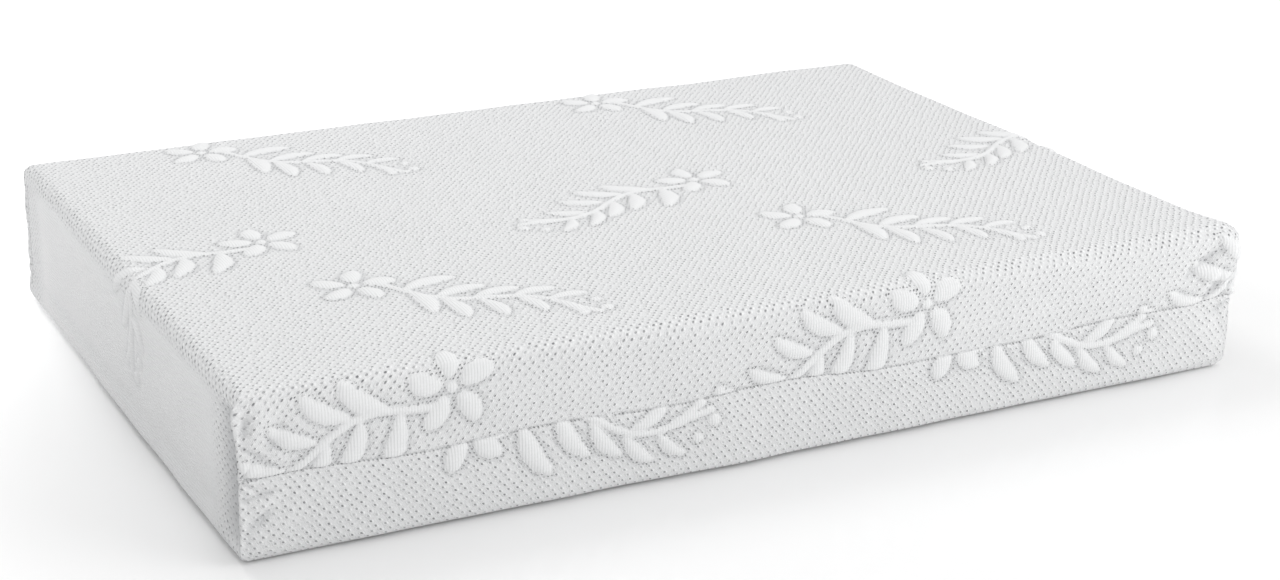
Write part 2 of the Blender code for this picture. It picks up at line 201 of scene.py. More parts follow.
def seam_line(x):
    """Height of the side seam, which wanders a little along the mattress."""
    waves = 0.0017 * np.sin(tau * (x + 0.40) / 0.175) * (1 - ease(0.02, 0.08, x))
    dip = -0.0034 * ease(0.02, 0.09, x) * (1 - ease(0.20, 0.30, x))
    rise = 0.0030 * ease(0.350, 0.392, x)
    return seam_height - 0.0006 + waves + dip + rise


def fold_fan(along, up, depth, reach, folds, turn):
    """Small folds that fan out from where a seam ends."""
    out = np.hypot(along, up)
    size = depth * np.exp(-((out / reach) ** 2)) * ease(0.0, 0.005, out)
    return size * np.cos(folds * np.arctan2(up, along) + turn)


def dent(along, up, place, reach, tilt, height):
    """One soft bulge or dent, longer along its tilt than across."""
    a, b = along - place[0], up - place[1]
    lengthwise = a * cos(radians(tilt)) + b * sin(radians(tilt))
    across = b * cos(radians(tilt)) - a * sin(radians(tilt))
    return height * np.exp(-((lengthwise / reach[0]) ** 2) - (across / reach[1]) ** 2)


# Dents near the corners of the long sides: distance from the corner and height of the middle,
# reach along and across, tilt in degrees, and rise. The fold end first, then the zip end.
fold_corner_dents = (
    ((0.014, 0.100), (0.012, 0.009), 65, 0.0036), ((0.0060, 0.097), (0.010, 0.0035), 80, -0.0036),
    ((0.010, 0.0785), (0.011, 0.0018), -35, -0.0022), ((0.024, 0.072), (0.010, 0.006), 20, 0.0016),
    ((0.026, 0.086), (0.016, 0.006), 60, -0.0018), ((0.018, 0.068), (0.006, 0.004), 0, -0.0016),
    ((0.012, 0.0475), (0.012, 0.0020), 8, -0.0018), ((0.016, 0.0400), (0.012, 0.0030), 32, 0.0024),
    ((0.013, 0.0300), (0.009, 0.0050), 50, -0.0030), ((0.030, 0.0240), (0.016, 0.006), 40, 0.0013),
    ((0.005, 0.0200), (0.012, 0.0030), 85, -0.0014),
)
zip_corner_dents = (
    ((0.033, 0.0915), (0.019, 0.0045), -35, -0.0044), ((0.014, 0.104), (0.014, 0.008), 70, 0.0020),
    ((0.0150, 0.0775), (0.0050, 0.0030), -50, 0.0042), ((0.0215, 0.0705), (0.0110, 0.0024), -42, -0.0026),
    ((0.0280, 0.0760), (0.0120, 0.0034), -52, 0.0024), ((0.0080, 0.0715), (0.0050, 0.0028), -30, -0.0030),
    ((0.0460, 0.0740), (0.0200, 0.0050), -40, -0.0014), ((0.0260, 0.0300), (0.0180, 0.0080), 60, 0.0016),
    ((0.0120, 0.0400), (0.0140, 0.0045), 70, -0.0014),
)


def drape(points, normals):
    """Moves a layer as the sewn cover holds it: bowed sides, pulled corners, creased seams."""
    x, y, z = points.T.copy()
    front, back = ease(0.5, 0.9, -normals[:, 1]), ease(0.5, 0.9, normals[:, 1])
    fold, zipped = ease(0.5, 0.9, -normals[:, 0]), ease(0.5, 0.9, normals[:, 0])
    sides = front + back
    walls = sides + fold + zipped
    top = ease(0.6, 0.95, normals[:, 2])
    half_width, height = cover_high[1], cover_high[2]
    from_fold, from_zip = x - cover_low[0], cover_high[0] - x
    from_corner = half_width - abs(y)
    z = z + (seam_line(x) - seam_height) * np.maximum(sides, zipped * ease(0.03, 0.0, from_corner)) * (
        ease(0.030, 0.006, abs(z - seam_height)))
    flap = np.where(z > seam_height, (z - seam_height) / (height - seam_height),
                    (seam_height - z) / seam_height)
    push = 0.0013 * np.sin(pi * np.clip(flap, 0, 1)) * (sides + 0.8 * zipped)
    push += 0.0022 * np.cos(pi * x / (cover_high[0] - cover_low[0])) ** 2 * sides
    push += 0.0018 * np.cos(pi * y / (2 * half_width)) ** 2 * fold * np.sin(pi * np.clip(z / height, 0, 1))
    swell = np.sin(31 * x + 13 * y + 1) + np.sin(17 * y - 23 * x + 40 * z) + np.sin(47 * x - 29 * y + 2)
    swell += 0.8 * np.sin(61 * y + 37 * x + 90 * z) + 0.6 * np.sin(90 * x + 55 * z + 4)
    push += (0.00016 * top + 0.00028 * walls) * swell
    seam_here = np.maximum(sides, zipped)
    push -= 0.0008 * dome(z, seam_line(x), 0.0010) * seam_here
    push += 0.0004 * dome(z, seam_line(x) + 0.0040, 0.0026) * seam_here
    tall = ease(0.002, 0.018, z) * ease(height - 0.006, height - 0.017, z)
    near_side = np.where(y < 0, 1.0, 0.25)
    groove = 0.0046 * ease(0.0006, 0.0040, from_corner) * ease(0.046, 0.010, from_corner)
    push -= groove * tall * fold * near_side
    push += 0.0022 * fold * ease(0.030, 0.008, z) * ease(0.0, 0.004, z)
    turned_lip = ease(0.0050, 0.0008, from_corner) * ease(0.0050, 0.0008, from_fold) * (y < 0)
    x = x - turned_lip * (0.0006 * tall + 0.0026 * dome(z, height - 0.012, 0.012))
    for face, mirror in ((front, 1.0), (back, 0.82)):
        fold_folds = sum(dent(from_fold, z, *shape) for shape in fold_corner_dents)
        zip_folds = sum(dent(from_zip, z, *shape) for shape in zip_corner_dents)
        fold_folds += fold_fan(from_fold, z - seam_height, 0.0009, 0.022, 9, mirror * 2)
        zip_folds += fold_fan(from_zip, z - seam_height, 0.0010, 0.026, 8, mirror)
        push += face * mirror * (fold_folds + zip_folds)
    corner_way = np.hypot(np.maximum(from_zip, 0), np.maximum(from_corner, 0))
    drawn_in = np.exp(-((corner_way / 0.032) ** 2)) * np.maximum(sides, zipped)
    push -= 0.0026 * drawn_in * ease(0.066, 0.052, z)
    push += 0.0016 * drawn_in * dome(z, 0.092, 0.016)
    x = x + 0.0085 * np.exp(-((corner_way / 0.034) ** 2)) * near_side
    x = x + 0.0042 * zipped * ease(0.075, 0.105, z) * np.cos(pi * y / (2.6 * half_width)) ** 2
    moved = np.stack([x, y, z], 1) + normals * push[:, None]
    moved[:, 2] = np.maximum(moved[:, 2], 0.0)
    return moved


def new_mesh(name, points, faces):
    """A mesh from points and faces."""
    mesh = bpy.data.meshes.new(name)
    mesh.from_pydata(np.asarray(points).tolist(), [], faces)
    mesh.update()
    mesh.shade_smooth()
    return mesh


def new_piece(name, mesh, *finishes):
    """A piece in the scene with its finishes."""
    piece = bpy.data.objects.new(name, mesh)
    for finish in finishes:
        mesh.materials.append(finish)
    bpy.context.scene.collection.objects.link(piece)
    return piece


def read_points(mesh):
    """A mesh's points as an array."""
    points = np.empty(len(mesh.vertices) * 3, np.float32)
    mesh.vertices.foreach_get("co", points)
    return points.reshape(-1, 3).astype(float)


def read_normals(mesh):
    """A mesh's point normals as an array."""
    normals = np.empty(len(mesh.vertices) * 3, np.float32)
    mesh.vertex_normals.foreach_get("vector", normals)
    return normals.reshape(-1, 3).astype(float)


def write_points(mesh, points):
    """Puts a mesh's points where the array says."""
    mesh.vertices.foreach_set("co", np.asarray(points, np.float32).ravel())
    mesh.update()


def draped_shell(name, grid, low, high, rim_bottom, rim_top, corners):
    """A block's mesh, rolled from its grid and draped."""
    mesh = new_mesh(name, block_points(grid["flat"], low, high, rim_bottom, rim_top, corners), grid["faces"])
    write_points(mesh, drape(read_points(mesh), read_normals(mesh)))
    return mesh


def side_places(length, rim, pitch, end_pitch=None, end_reach=0.03):
    """Grid places across a side of that length: even in the rims, finer near both ends."""
    half = unrolled(length, rim, rim) / 2
    rim_half = max(rim, 0.001) * pi / 4
    stops = [(-half, rim_half / 5), (rim_half - half, end_pitch or pitch), (end_reach - half, pitch)]
    stops += [(half - end_reach, end_pitch or pitch), (half - rim_half, rim_half / 5), (half, 0)]
    return spaced(*stops)


def new_finish(name, roughness, metallic=0.0, sheen=0.0):
    """A procedural finish: its node tree and its Principled shader."""
    made = bpy.data.materials.new(name)
    made.use_nodes = True
    shader = made.node_tree.nodes["Principled BSDF"]
    shader.inputs["Roughness"].default_value = roughness
    shader.inputs["Metallic"].default_value = metallic
    shader.inputs["Sheen Weight"].default_value = sheen
    shader.inputs["Sheen Roughness"].default_value = 0.5
    return made, made.node_tree, shader


def add_node(tree, kind, **settings):
    """A node with its settings."""
    node = tree.nodes.new(kind)
    for setting, value in settings.items():
        setattr(node, setting, value)
    return node


def feed(tree, socket, value):
    """Feeds a socket from another one, or sets its number, vector or colour."""
    if isinstance(value, bpy.types.NodeSocket):
        tree.links.new(value, socket)
    elif isinstance(value, tuple) and len(value) == 3 and socket.type == "RGBA":
        socket.default_value = (*value, 1.0)
    else:
        socket.default_value = value


def maths(tree, operation, *values, clamp=False):
    """A Math node on sockets and numbers."""
    node = add_node(tree, "ShaderNodeMath", operation=operation, use_clamp=clamp)
    for socket, value in zip(node.inputs, values):
        feed(tree, socket, value)
    return node.outputs[0]


def weighed(tree, first, share, second, other_share, clamp=False):
    """Two sockets added, each times its share."""
    rest = maths(tree, "MULTIPLY", second, other_share)
    return maths(tree, "MULTIPLY_ADD", first, share, rest, clamp=clamp)


def span(tree, x, y):
    """The length of a line with these two sides."""
    squares = maths(tree, "ADD", maths(tree, "POWER", x, 2.0), maths(tree, "POWER", y, 2.0))
    return maths(tree, "SQRT", squares)


def axes(tree, vector):
    """The three parts of a vector."""
    node = add_node(tree, "ShaderNodeSeparateXYZ")
    feed(tree, node.inputs[0], vector)
    return node.outputs


def pair(tree, x, y):
    """A vector from two sockets."""
    node = add_node(tree, "ShaderNodeCombineXYZ")
    feed(tree, node.inputs[0], x)
    feed(tree, node.inputs[1], y)
    return node.outputs[0]


def between(tree, value, low, high, to_low=0.0, to_high=1.0):
    """A smooth rise of a socket between two values."""
    node = add_node(tree, "ShaderNodeMapRange", interpolation_type="SMOOTHSTEP")
    names = ("Value", "From Min", "From Max", "To Min", "To Max")
    for name, number in zip(names, (value, low, high, to_low, to_high)):
        feed(tree, node.inputs[name], number)
    return node.outputs["Result"]


def blend(tree, factor, first, second):
    """A mix of two colours."""
    node = add_node(tree, "ShaderNodeMix", data_type="RGBA")
    feed(tree, node.inputs["Factor"], factor)
    feed(tree, node.inputs[6], first)
    feed(tree, node.inputs[7], second)
    return node.outputs[2]


def mix(tree, factor, first, second):
    """A mix of two numbers."""
    node = add_node(tree, "ShaderNodeMix", data_type="FLOAT")
    feed(tree, node.inputs[0], factor)
    feed(tree, node.inputs[2], first)
    feed(tree, node.inputs[3], second)
    return node.outputs[0]


def cloud(tree, place, scale, detail=2.0):
    """Soft noise from 0 to 1."""
    node = add_node(tree, "ShaderNodeTexNoise")
    feed(tree, node.inputs["Vector"], place)
    feed(tree, node.inputs["Scale"], scale)
    feed(tree, node.inputs["Detail"], detail)
    return node.outputs["Fac"]


def object_place(tree):
    """The point's place on the piece, in metres."""
    return add_node(tree, "ShaderNodeTexCoord").outputs["Object"]


def written(tree, name):
    """A vector written on the mesh's corners."""
    return add_node(tree, "ShaderNodeAttribute", attribute_name=name).outputs["Vector"]


def bump(tree, shader, height, distance, strength=1.0):
    """Fine relief from a height of 0 to 1."""
    node = add_node(tree, "ShaderNodeBump")
    feed(tree, node.inputs["Distance"], distance)
    feed(tree, node.inputs["Strength"], strength)
    feed(tree, node.inputs["Height"], height)
    tree.links.new(node.outputs["Normal"], shader.inputs["Normal"])


def foam_finish(name, skin, cell, cells_per_metre):
    """Cut foam: small dark open cells in a pale skin, with a faint uneven surface."""
    made, tree, shader = new_finish(name, 0.95)
    place = object_place(tree)
    cells = add_node(tree, "ShaderNodeTexVoronoi", feature="F1")
    feed(tree, cells.inputs["Vector"], place)
    feed(tree, cells.inputs["Scale"], cells_per_metre)
    # Painted shade: the open cells are real hollows, and their darker colour is the shade inside them.
    pore = between(tree, cells.outputs["Distance"], 0.18, 0.42, 1.0, 0.0)
    shade = weighed(tree, cloud(tree, place, 14.0), 0.35, pore, 0.6, clamp=True)
    feed(tree, shader.inputs["Base Color"], blend(tree, shade, skin, cell))
    bump(tree, shader, maths(tree, "SUBTRACT", cloud(tree, place, 130.0), pore), 0.0006)
    return made


def foam_slab(name, low, high, rim_bottom, rim_top):
    """A slab of foam as cut, on a grid fine enough to take the cover's pull."""
    rim = max(rim_bottom, rim_top)
    corners = (max(0.005 - (low[0] - cover_low[0]), 0.001), 0.016 - (cover_high[0] - high[0]))
    xs = side_places(high[0] - low[0], rim, foam_pitch, 0.003)
    ys = side_places(high[1] - low[1], rim, foam_pitch, 0.003)
    tall = unrolled(high[2] - low[2], rim_bottom, rim_top)
    zs = spaced((0.0, rim_bottom * 0.2), (rim_bottom * pi / 4, 0.004),
                (tall - rim_top * pi / 4, rim_top * 0.2), (tall, 0))
    return draped_shell(name, block_grid(xs, ys, zs), low, high, rim_bottom, rim_top, corners)


def press_zip_in(mesh):
    """Presses the hollow for the zip's tapes and slider into the end of the foam."""
    points = read_points(mesh)
    slider_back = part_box("zip_slider")[0].x
    room = 0.0006
    behind = points[:, 0] > core_high[0] - 0.012
    beside = (abs(points[:, 1]) < upper_tape_high.y + room) & (points[:, 2] > lower_tape_low.z - room)
    pressed = behind & beside & (points[:, 2] < upper_tape_high.z + room)
    points[:, 0] = np.where(pressed, np.minimum(points[:, 0], slider_back - room), points[:, 0])
    write_points(mesh, points)


core_mesh = foam_slab("support_foam_block", core_low, core_high, foam_rim, cut_edge)
press_zip_in(core_mesh)
# Each foam's second colour is the painted shade in its open cells.
grey_foam = foam_finish("grey_cut_foam", (0.60, 0.62, 0.64), (0.40, 0.42, 0.45), 620.0)
core = new_piece("support_foam_block", core_mesh, grey_foam)
visco_mesh = foam_slab("memory_foam_slab", visco_low, visco_high, cut_edge, foam_rim)
cream_foam = foam_finish("cream_memory_foam", (0.84, 0.79, 0.62), (0.70, 0.63, 0.45), 950.0)
visco = new_piece("memory_foam_slab", visco_mesh, cream_foam)
for slab, node, slot in ((core, "support_core", "support_foam"),
                         (visco, "memory_foam_layer", "memory_foam")):
    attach(slab, "root")
    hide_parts(node)

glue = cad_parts["glue_film"]
glue.data.materials.clear()
# Its second colour is the painted shade in the glue's pores.
glue.data.materials.append(foam_finish("dried_foam_glue", (0.80, 0.74, 0.56), (0.66, 0.58, 0.38), 240.0))

# --- Inner sleeve ----------------------------------------------------------------------------
# A thin cotton jersey tube, pulled over the foam so that the cover slides on and off.
# Its mouth at the zip end is turned in and left open. Fine wales run along the mattress.

sleeve_low, sleeve_high = (np.array(corner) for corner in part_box("inner_sleeve"))
sleeve_thickness = 0.0008
sleeve_hem = 0.0176


def layer_grid(low, high, rim, opening_inset):
    """The grid of a thin layer under the cover, fine where the cover's corners press it.
    Its opening in the zip end lies opening_inset in from the edges."""
    length, width, tall = high - low
    xs = side_places(length, rim, layer_pitch, 0.003)
    ys = side_places(width, rim, layer_pitch, 0.0022)
    zs = side_places(tall, rim, 0.004, 0.004)
    zs = zs - zs[0]
    y_edge = unrolled_place(width / 2 - opening_inset, width / 2, rim)
    z_edge = opening_inset - rim * (1 - pi / 4)
    return block_grid(xs, ys, zs, (-y_edge, y_edge, z_edge, zs[-1] - z_edge))


def close_shell(name, outer, outer_grid, inner, inner_grid, rings):
    """One closed mesh from an outer and an inner wall, joined round their opening by rings of points."""
    points = np.concatenate([outer, inner, *rings])
    shift = len(outer)
    faces = list(outer_grid["faces"]) + [[shift + i for i in reversed(face)] for face in inner_grid["faces"]]
    loops = [list(outer_grid["loop"])]
    start = shift + len(inner)
    for ring in rings:
        loops.append(list(range(start, start + len(ring))))
        start += len(ring)
    for shallow, deep in zip(loops, loops[1:]):
        for a, b, c, d in zip(shallow, shallow[1:] + shallow[:1], deep[1:] + deep[:1], deep):
            faces.append([a, b, c, d])
    last, goal = loops[-1], [shift + i for i in inner_grid["loop"]]
    beside = [int(np.argmin(np.hypot(*(points[last][:, 1:] - points[i][1:]).T))) for i in goal]
    for here, after, i, j in zip(goal, goal[1:] + goal[:1], beside, beside[1:] + beside[:1]):
        run = last[i:j + 1] if j >= i else last[i:] + last[:j + 1]
        faces.append(run + [after, here])
    return new_mesh(name, points, faces)


def rolled(grid, low, high, rim, corners):
    """A layer's points, rolled and draped."""
    mesh = new_mesh("rolled", block_points(grid["flat"], low, high, rim, rim, corners), grid["faces"])
    points = drape(read_points(mesh), read_normals(mesh))
    bpy.data.meshes.remove(mesh)
    return points


sleeve_rim = 0.0082
sleeve_grid = layer_grid(sleeve_low, sleeve_high, sleeve_rim, sleeve_hem)
sleeve_outer = rolled(sleeve_grid, sleeve_low, sleeve_high, sleeve_rim, (0.0022, 0.0132))
sleeve_inner = rolled(sleeve_grid, sleeve_low + sleeve_thickness, sleeve_high - sleeve_thickness,
                      sleeve_rim - sleeve_thickness, (0.0014, 0.0124))
sleeve_mesh = close_shell("inner_jersey_sleeve", sleeve_outer, sleeve_grid, sleeve_inner, sleeve_grid, [])


def jersey_finish():
    """Plain cotton jersey: fine wales along X and a soft uneven white."""
    made, tree, shader = new_finish("thin_white_jersey", 0.92, sheen=0.15)
    x, y, z = axes(tree, object_place(tree))
    wale = maths(tree, "SINE", maths(tree, "MULTIPLY", maths(tree, "ADD", y, z), tau / 0.0011))
    course = maths(tree, "SINE", maths(tree, "MULTIPLY", x, tau / 0.0009))
    ridge = maths(tree, "MULTIPLY_ADD", wale, 0.25, 0.5)
    loops = maths(tree, "MULTIPLY_ADD", maths(tree, "MULTIPLY", wale, course), 0.25, ridge)
    shade = weighed(tree, cloud(tree, object_place(tree), 22.0), 0.4, loops, 0.4, clamp=True)
    feed(tree, shader.inputs["Base Color"], blend(tree, shade, (0.70, 0.69, 0.66), (0.84, 0.83, 0.80)))
    bump(tree, shader, loops, 0.0002)
    return made


sleeve = new_piece("inner_jersey_sleeve", sleeve_mesh, jersey_finish())
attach(sleeve, "root")
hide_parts("inner_sleeve")

# --- Cover panel -----------------------------------------------------------------------------
# One panel of white double-knit jacquard: over the top, round the fold end and under the bottom,
# its flaps joined half-way up the long sides. Raised rib-knit sprigs stand in a field of pinholes.

knit = 0.0025
cover_rim = 0.011
fold_corner, zip_corner = 0.0022, 0.010
cloth_pitch = 0.0024
slot_half_height = 0.008
slot_half_width = upper_tape_high.y - 0.006
under_panel = 7.0
# The white of the painted highlights beside the pinholes and on the ridges of the cloth.
painted_highlight_white = (0.97, 0.975, 0.98)
sprig_length = 0.215
leaf_tip = 0.0016
stem_wave, stem_rise = 0.125, 0.0085

length, width, height = cover_high - cover_low
rim_cloth = cover_rim * pi / 4
half_x, half_y = (unrolled(side, cover_rim, cover_rim) / 2 for side in (length, width))
flat_height = unrolled(height, cover_rim, cover_rim)
flat_seam = seam_height - cover_rim + rim_cloth
flat_slot = unrolled_place(slot_half_width, width / 2, cover_rim)

cloth_x = spaced((-half_x, rim_cloth / 6), (rim_cloth - half_x, 0.0013), (0.036 - half_x, cloth_pitch),
                 (half_x - 0.055, 0.0015), (half_x - rim_cloth, rim_cloth / 6), (half_x, 0))
cloth_y = spaced((-half_y, rim_cloth / 8), (rim_cloth - half_y, 0.0012), (-flat_slot, cloth_pitch),
                 (flat_slot, 0.0012), (half_y - rim_cloth, rim_cloth / 8), (half_y, 0))
cloth_z = spaced((0.0, rim_cloth / 6), (rim_cloth, 0.0019), (flat_seam - slot_half_height, 0.0012),
                 (flat_seam - 0.004, 0.0007), (flat_seam + 0.004, 0.0012),
                 (flat_seam + slot_half_height, 0.0019), (flat_height - rim_cloth, rim_cloth / 6),
                 (flat_height, 0))
slot = (-flat_slot, flat_slot, flat_seam - slot_half_height, flat_seam + slot_half_height)
cloth_grid = block_grid(cloth_x, cloth_y, cloth_z, slot, sparse=2)


def stroke(points, radii, step=0.0015):
    """Discs along a smooth line, each (x, y, radius)."""
    points, radii = np.array(points, float), np.array(radii, float)
    lengths = np.concatenate([[0.0], np.cumsum(np.hypot(*np.diff(points, axis=0).T))])
    at = np.linspace(0.0, lengths[-1], max(2, int(lengths[-1] / step)))
    return np.stack([np.interp(at, lengths, values) for values in (*points.T, radii)], 1)


def leaf(x, y, angle, long, wide):
    """A pointed leaf from its stalk at x, y."""
    along = np.linspace(0.0, 1.0, 15)
    bend = 0.10 * long * np.sin(pi * along)
    a, c, s = along * long, cos(radians(angle)), sin(radians(angle))
    middle = np.stack([x + a * c - bend * s, y + a * s + bend * c], 1)
    return stroke(middle, leaf_tip + (wide / 2 - leaf_tip) * np.sin(pi * along) ** 0.8)


def sprig():
    """The raised pattern: a five-petalled flower, a waving stem with leaves in pairs, and berries."""
    half = sprig_length / 2
    along = np.linspace(0.046 - half, half - 0.006, 40)
    sway = stem_rise * np.sin(tau * (along + half) / stem_wave)
    parts = [stroke(np.stack([along, sway], 1), np.full(40, 0.0030))]
    for petal in range(5):
        turn = 36 + petal * 72
        x, y = 0.028 - half + 0.0085 * cos(radians(turn)), 0.0085 * sin(radians(turn))
        parts.append(leaf(x, y, turn, 0.0215, 0.0155))
    parts.append(stroke([(0.0279 - half, 0), (0.0281 - half, 0)], [0.0042, 0.0042]))
    for number, x in enumerate((0.066, 0.092, 0.118, 0.144, 0.170)):
        size = 1.0 - 0.09 * number
        stalk = stem_rise * sin(tau * x / stem_wave)
        for side in (1, -1):
            reach = x - half + (0.006 if side < 0 else 0.0)
            angle = side * (52 - 4 * number)
            parts.append(leaf(reach, stalk + side * 0.003, angle, 0.042 * size, 0.0150 * size))
    for inset, y, radius in ((0.003, 0.001, 0.0050), (0.014, 0.014, 0.0042), (0.016, -0.013, 0.0042)):
        x = half - inset
        parts.append(stroke([(x, y), (x + 0.0002, y)], [radius, radius]))
    return np.concatenate(parts)


def sprig_places():
    """Middle and direction of each sprig on the unrolled cloth: two kinds in a half-drop repeat."""
    repeat_x, repeat_y = 0.366, 0.360
    for column in range(-1, 3):
        for row in range(-2, 3):
            yield (-0.197 + column * repeat_x, -0.167 + row * repeat_y, -39.0)
            slip = 1.0 if row == 0 else 0.0
            yield (-0.363 + 0.036 * slip + column * repeat_x, -0.380 + 0.064 * slip + row * repeat_y, 197.0)
            yield (-0.160 + column * 0.380, under_panel - 0.333 + row * repeat_y, 8.0)
            yield (-0.345 + column * 0.380, under_panel - 0.078 + row * repeat_y, 150.0)


def sprig_distance(cloth):
    """Distance from the edge of the nearest raised shape, negative inside it."""
    discs = sprig()
    far = 0.02
    distance = np.full(len(cloth), far)
    for x, y, turn in sprig_places():
        if x < -half_x - 0.06:
            continue
        near = np.flatnonzero(np.hypot(cloth[:, 0] - x, cloth[:, 1] - y) < sprig_length / 2 + far)
        if not len(near):
            continue
        c, s = cos(radians(turn)), sin(radians(turn))
        local = cloth[near] - (x, y)
        local = np.stack([local[:, 0] * c + local[:, 1] * s, local[:, 1] * c - local[:, 0] * s], 1)
        for part in np.array_split(np.arange(len(near)), 1 + len(near) // 4000):
            gap = np.hypot(local[part, None, 0] - discs[None, :, 0],
                           local[part, None, 1] - discs[None, :, 1])
            distance[near[part]] = np.minimum(distance[near[part]], (gap - discs[None, :, 2]).min(1))
    return distance


def cloth_places(flat, side, upper):
    """Places on the unrolled panel, which runs on from the top over the edges and up from the underside."""
    x, y, z = flat.T
    down = np.where(upper | (side == "fold"), flat_height - z, z)
    u = np.select([side == "fold", side == "zip"], [-half_x - down, half_x + down], x)
    v = np.select([side == "front", side == "back"], [-half_y - down, half_y + down], y)
    below = ~upper & (side != "fold") | (side == "bottom")
    return np.stack([u, np.where(below, v + under_panel, v)], 1)


def cover_cloth():
    """Rolls, drapes and embosses the panel, and writes the cloth's own places on its corners."""
    flat = cloth_grid["flat"]
    outer = rolled(cloth_grid, cover_low, cover_high, cover_rim, (fold_corner, zip_corner))
    sizes = np.array([len(face) for face in cloth_grid["faces"]])
    corners = np.concatenate(cloth_grid["faces"])
    face_of = np.repeat(np.arange(len(sizes)), sizes)
    middle_z = np.bincount(face_of, flat[corners, 2]) / sizes
    upper = (middle_z > flat_seam)[face_of]
    side = cloth_grid["sides"][face_of]
    places = cloth_places(flat[corners], side, upper)
    distance = sprig_distance(places)
    raised = 0.0019 * np.sqrt(np.clip(-distance / 0.0055, 0.0, 1.0))
    raised -= 0.0005 * dome(distance, 0.0016, 0.0016)
    rise = np.bincount(corners, raised, len(flat)) / np.maximum(np.bincount(corners, minlength=len(flat)), 1)
    at_rim = flat_height - flat[:, 2] + np.maximum(half_x + np.minimum(flat[:, 0], 0.0), 0.0)
    rise *= np.where(flat[:, 0] < 0, ease(-0.012, 0.030, at_rim), 1.0)
    mesh = new_mesh("cover_normals", outer, cloth_grid["faces"])
    rise = rise * np.where(flat[:, 2] < 1e-9, 0.0, 1.0)
    outer = outer + read_normals(mesh) * rise[:, None]
    write_points(mesh, outer)
    hollow = hollows(mesh, outer)
    bpy.data.meshes.remove(mesh)
    return outer, places, distance, side, upper, corners, hollow


def hollows(mesh, points, rounds=14):
    """How far each point lies below the cloth around it, in metres: above zero in folds, below on ridges."""
    edges = np.empty(len(mesh.edges) * 2, np.int32)
    mesh.edges.foreach_get("vertices", edges)
    one, other = edges.reshape(-1, 2).T
    count = np.bincount(edges, minlength=len(points))[:, None]
    smooth = points.copy()
    for _ in range(rounds):
        total = np.stack([np.bincount(one, smooth[other, axis], len(points))
                          + np.bincount(other, smooth[one, axis], len(points)) for axis in range(3)], 1)
        smooth = 0.3 * smooth + 0.7 * total / count
    return ((smooth - points) * read_normals(mesh)).sum(1)


outer_wall, places, distance, side, upper, corners, hollow = cover_cloth()
inner_low, inner_high = cover_low + knit, cover_high - knit
inner_length, inner_width, inner_height = (whole - 2 * knit for whole in (length, width, height))
inner_rim = cover_rim - knit
inner_rim_cloth = inner_rim * pi / 4
inner_slot_half, inner_top_reach, rim_short = 0.0105, 0.0105, 0.0018
slot_from = seam_height - inner_slot_half - knit - rim_short
slot_to = seam_height + inner_slot_half - knit - rim_short
inner_edge = unrolled_place(slot_half_width + knit, inner_width / 2, inner_rim)
inner_half = unrolled(inner_width, inner_rim, inner_rim) / 2
inner_xs = side_places(inner_length, inner_rim, layer_pitch, 0.003)
inner_ys = spaced((-inner_half, 0.0013), (inner_rim_cloth - inner_half, 0.0022),
                  (-inner_edge, layer_pitch), (inner_edge, 0.0022),
                  (inner_half - inner_rim_cloth, 0.0013), (inner_half, 0))
inner_zs = spaced((0.0, 0.0014), (inner_rim_cloth, 0.005), (slot_from, 0.007), (slot_to, 0.005),
                  (inner_height - inner_top_reach, 0.0014),
                  (unrolled(inner_height, inner_rim, inner_rim), 0))
inner_grid = block_grid(inner_xs, inner_ys, inner_zs, (-inner_edge, inner_edge, slot_from, slot_to))
inner_wall = rolled(inner_grid, inner_low, inner_high, inner_rim, (0.0012, zip_corner - knit))

# The panel's edges are turned in round the zip and sewn to its tapes.
slot_edge = outer_wall[cloth_grid["loop"]]
tape_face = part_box("zip_coil_upper")[0].x
edge_y, edge_z = slot_edge[:, 1], slot_edge[:, 2] - seam_height
away = xyz(0.0, np.sign(edge_y) * (abs(edge_y) > slot_half_width - 0.001),
           np.sign(edge_z) * (abs(edge_z) > slot_half_height - 0.001))
lips = []
for depth, outward in ((0.10, -0.0005), (0.45, -0.0009), (0.90, -0.0006), (1.0, 0.0006), (0.97, 0.0022)):
    ring = slot_edge + away * outward
    ring[:, 0] += depth * (tape_face - slot_edge[:, 0])
    lips.append(ring)
cover_mesh = close_shell("knit_cover_panel", outer_wall, cloth_grid, inner_wall, inner_grid, lips)

corner_count = len(cover_mesh.loops)
flat_corner = cloth_grid["flat"][corners]
from_seam = np.where(side == "fold", 1.0, abs(flat_corner[:, 2] - flat_seam))
distance = np.where(distance > 0, np.minimum(distance, from_seam + 0.0008), distance)
from_side_corner = half_y - abs(flat_corner[:, 1])
below_top = flat_height - flat_corner[:, 2]
on_top, on_fold = side == "top", side == "fold"
holes = np.select([on_fold, side == "bottom", ~upper, ~on_top], [0.0, 1.0, 1.06, 0.96], 1.16)
near_rim = ease(0.022, 0.004, below_top)
holes = np.where(on_fold, 1.05 * np.maximum(ease(0.075, 0.030, from_side_corner), near_rim), holes)
ribs = np.where(on_fold, ease(0.035, 0.080, from_side_corner) * (1 - near_rim), 0.0)
in_from_edge = np.minimum(from_side_corner, half_x - abs(flat_corner[:, 0]))
stretch = np.where(on_top, ease(0.014, 0.002, in_from_edge), ease(0.016, 0.0, below_top))
at_edge = np.where(on_top, in_from_edge, below_top)
at_edge = np.where(on_fold, np.minimum(at_edge, from_side_corner), at_edge)
at_edge = np.where(side == "bottom", 1.0, at_edge)
# Painted shade and highlight: how far the cloth lies in a hollow, to darken it in hollows and lighten it on
# ridges.
folds = np.clip(hollow[corners] / 0.0009, -1.0, 1.0) * ease(0.004, 0.016, at_edge)
# Painted shade: a mask of the groove beside the near corner of the fold end, where the cloth is darkened.
groove = on_fold * ease(0.042, 0.010, from_side_corner) * ease(0.002, 0.030, flat_corner[:, 2])
groove = groove * (flat_corner[:, 1] < 0) * ease(0.004, 0.020, below_top)
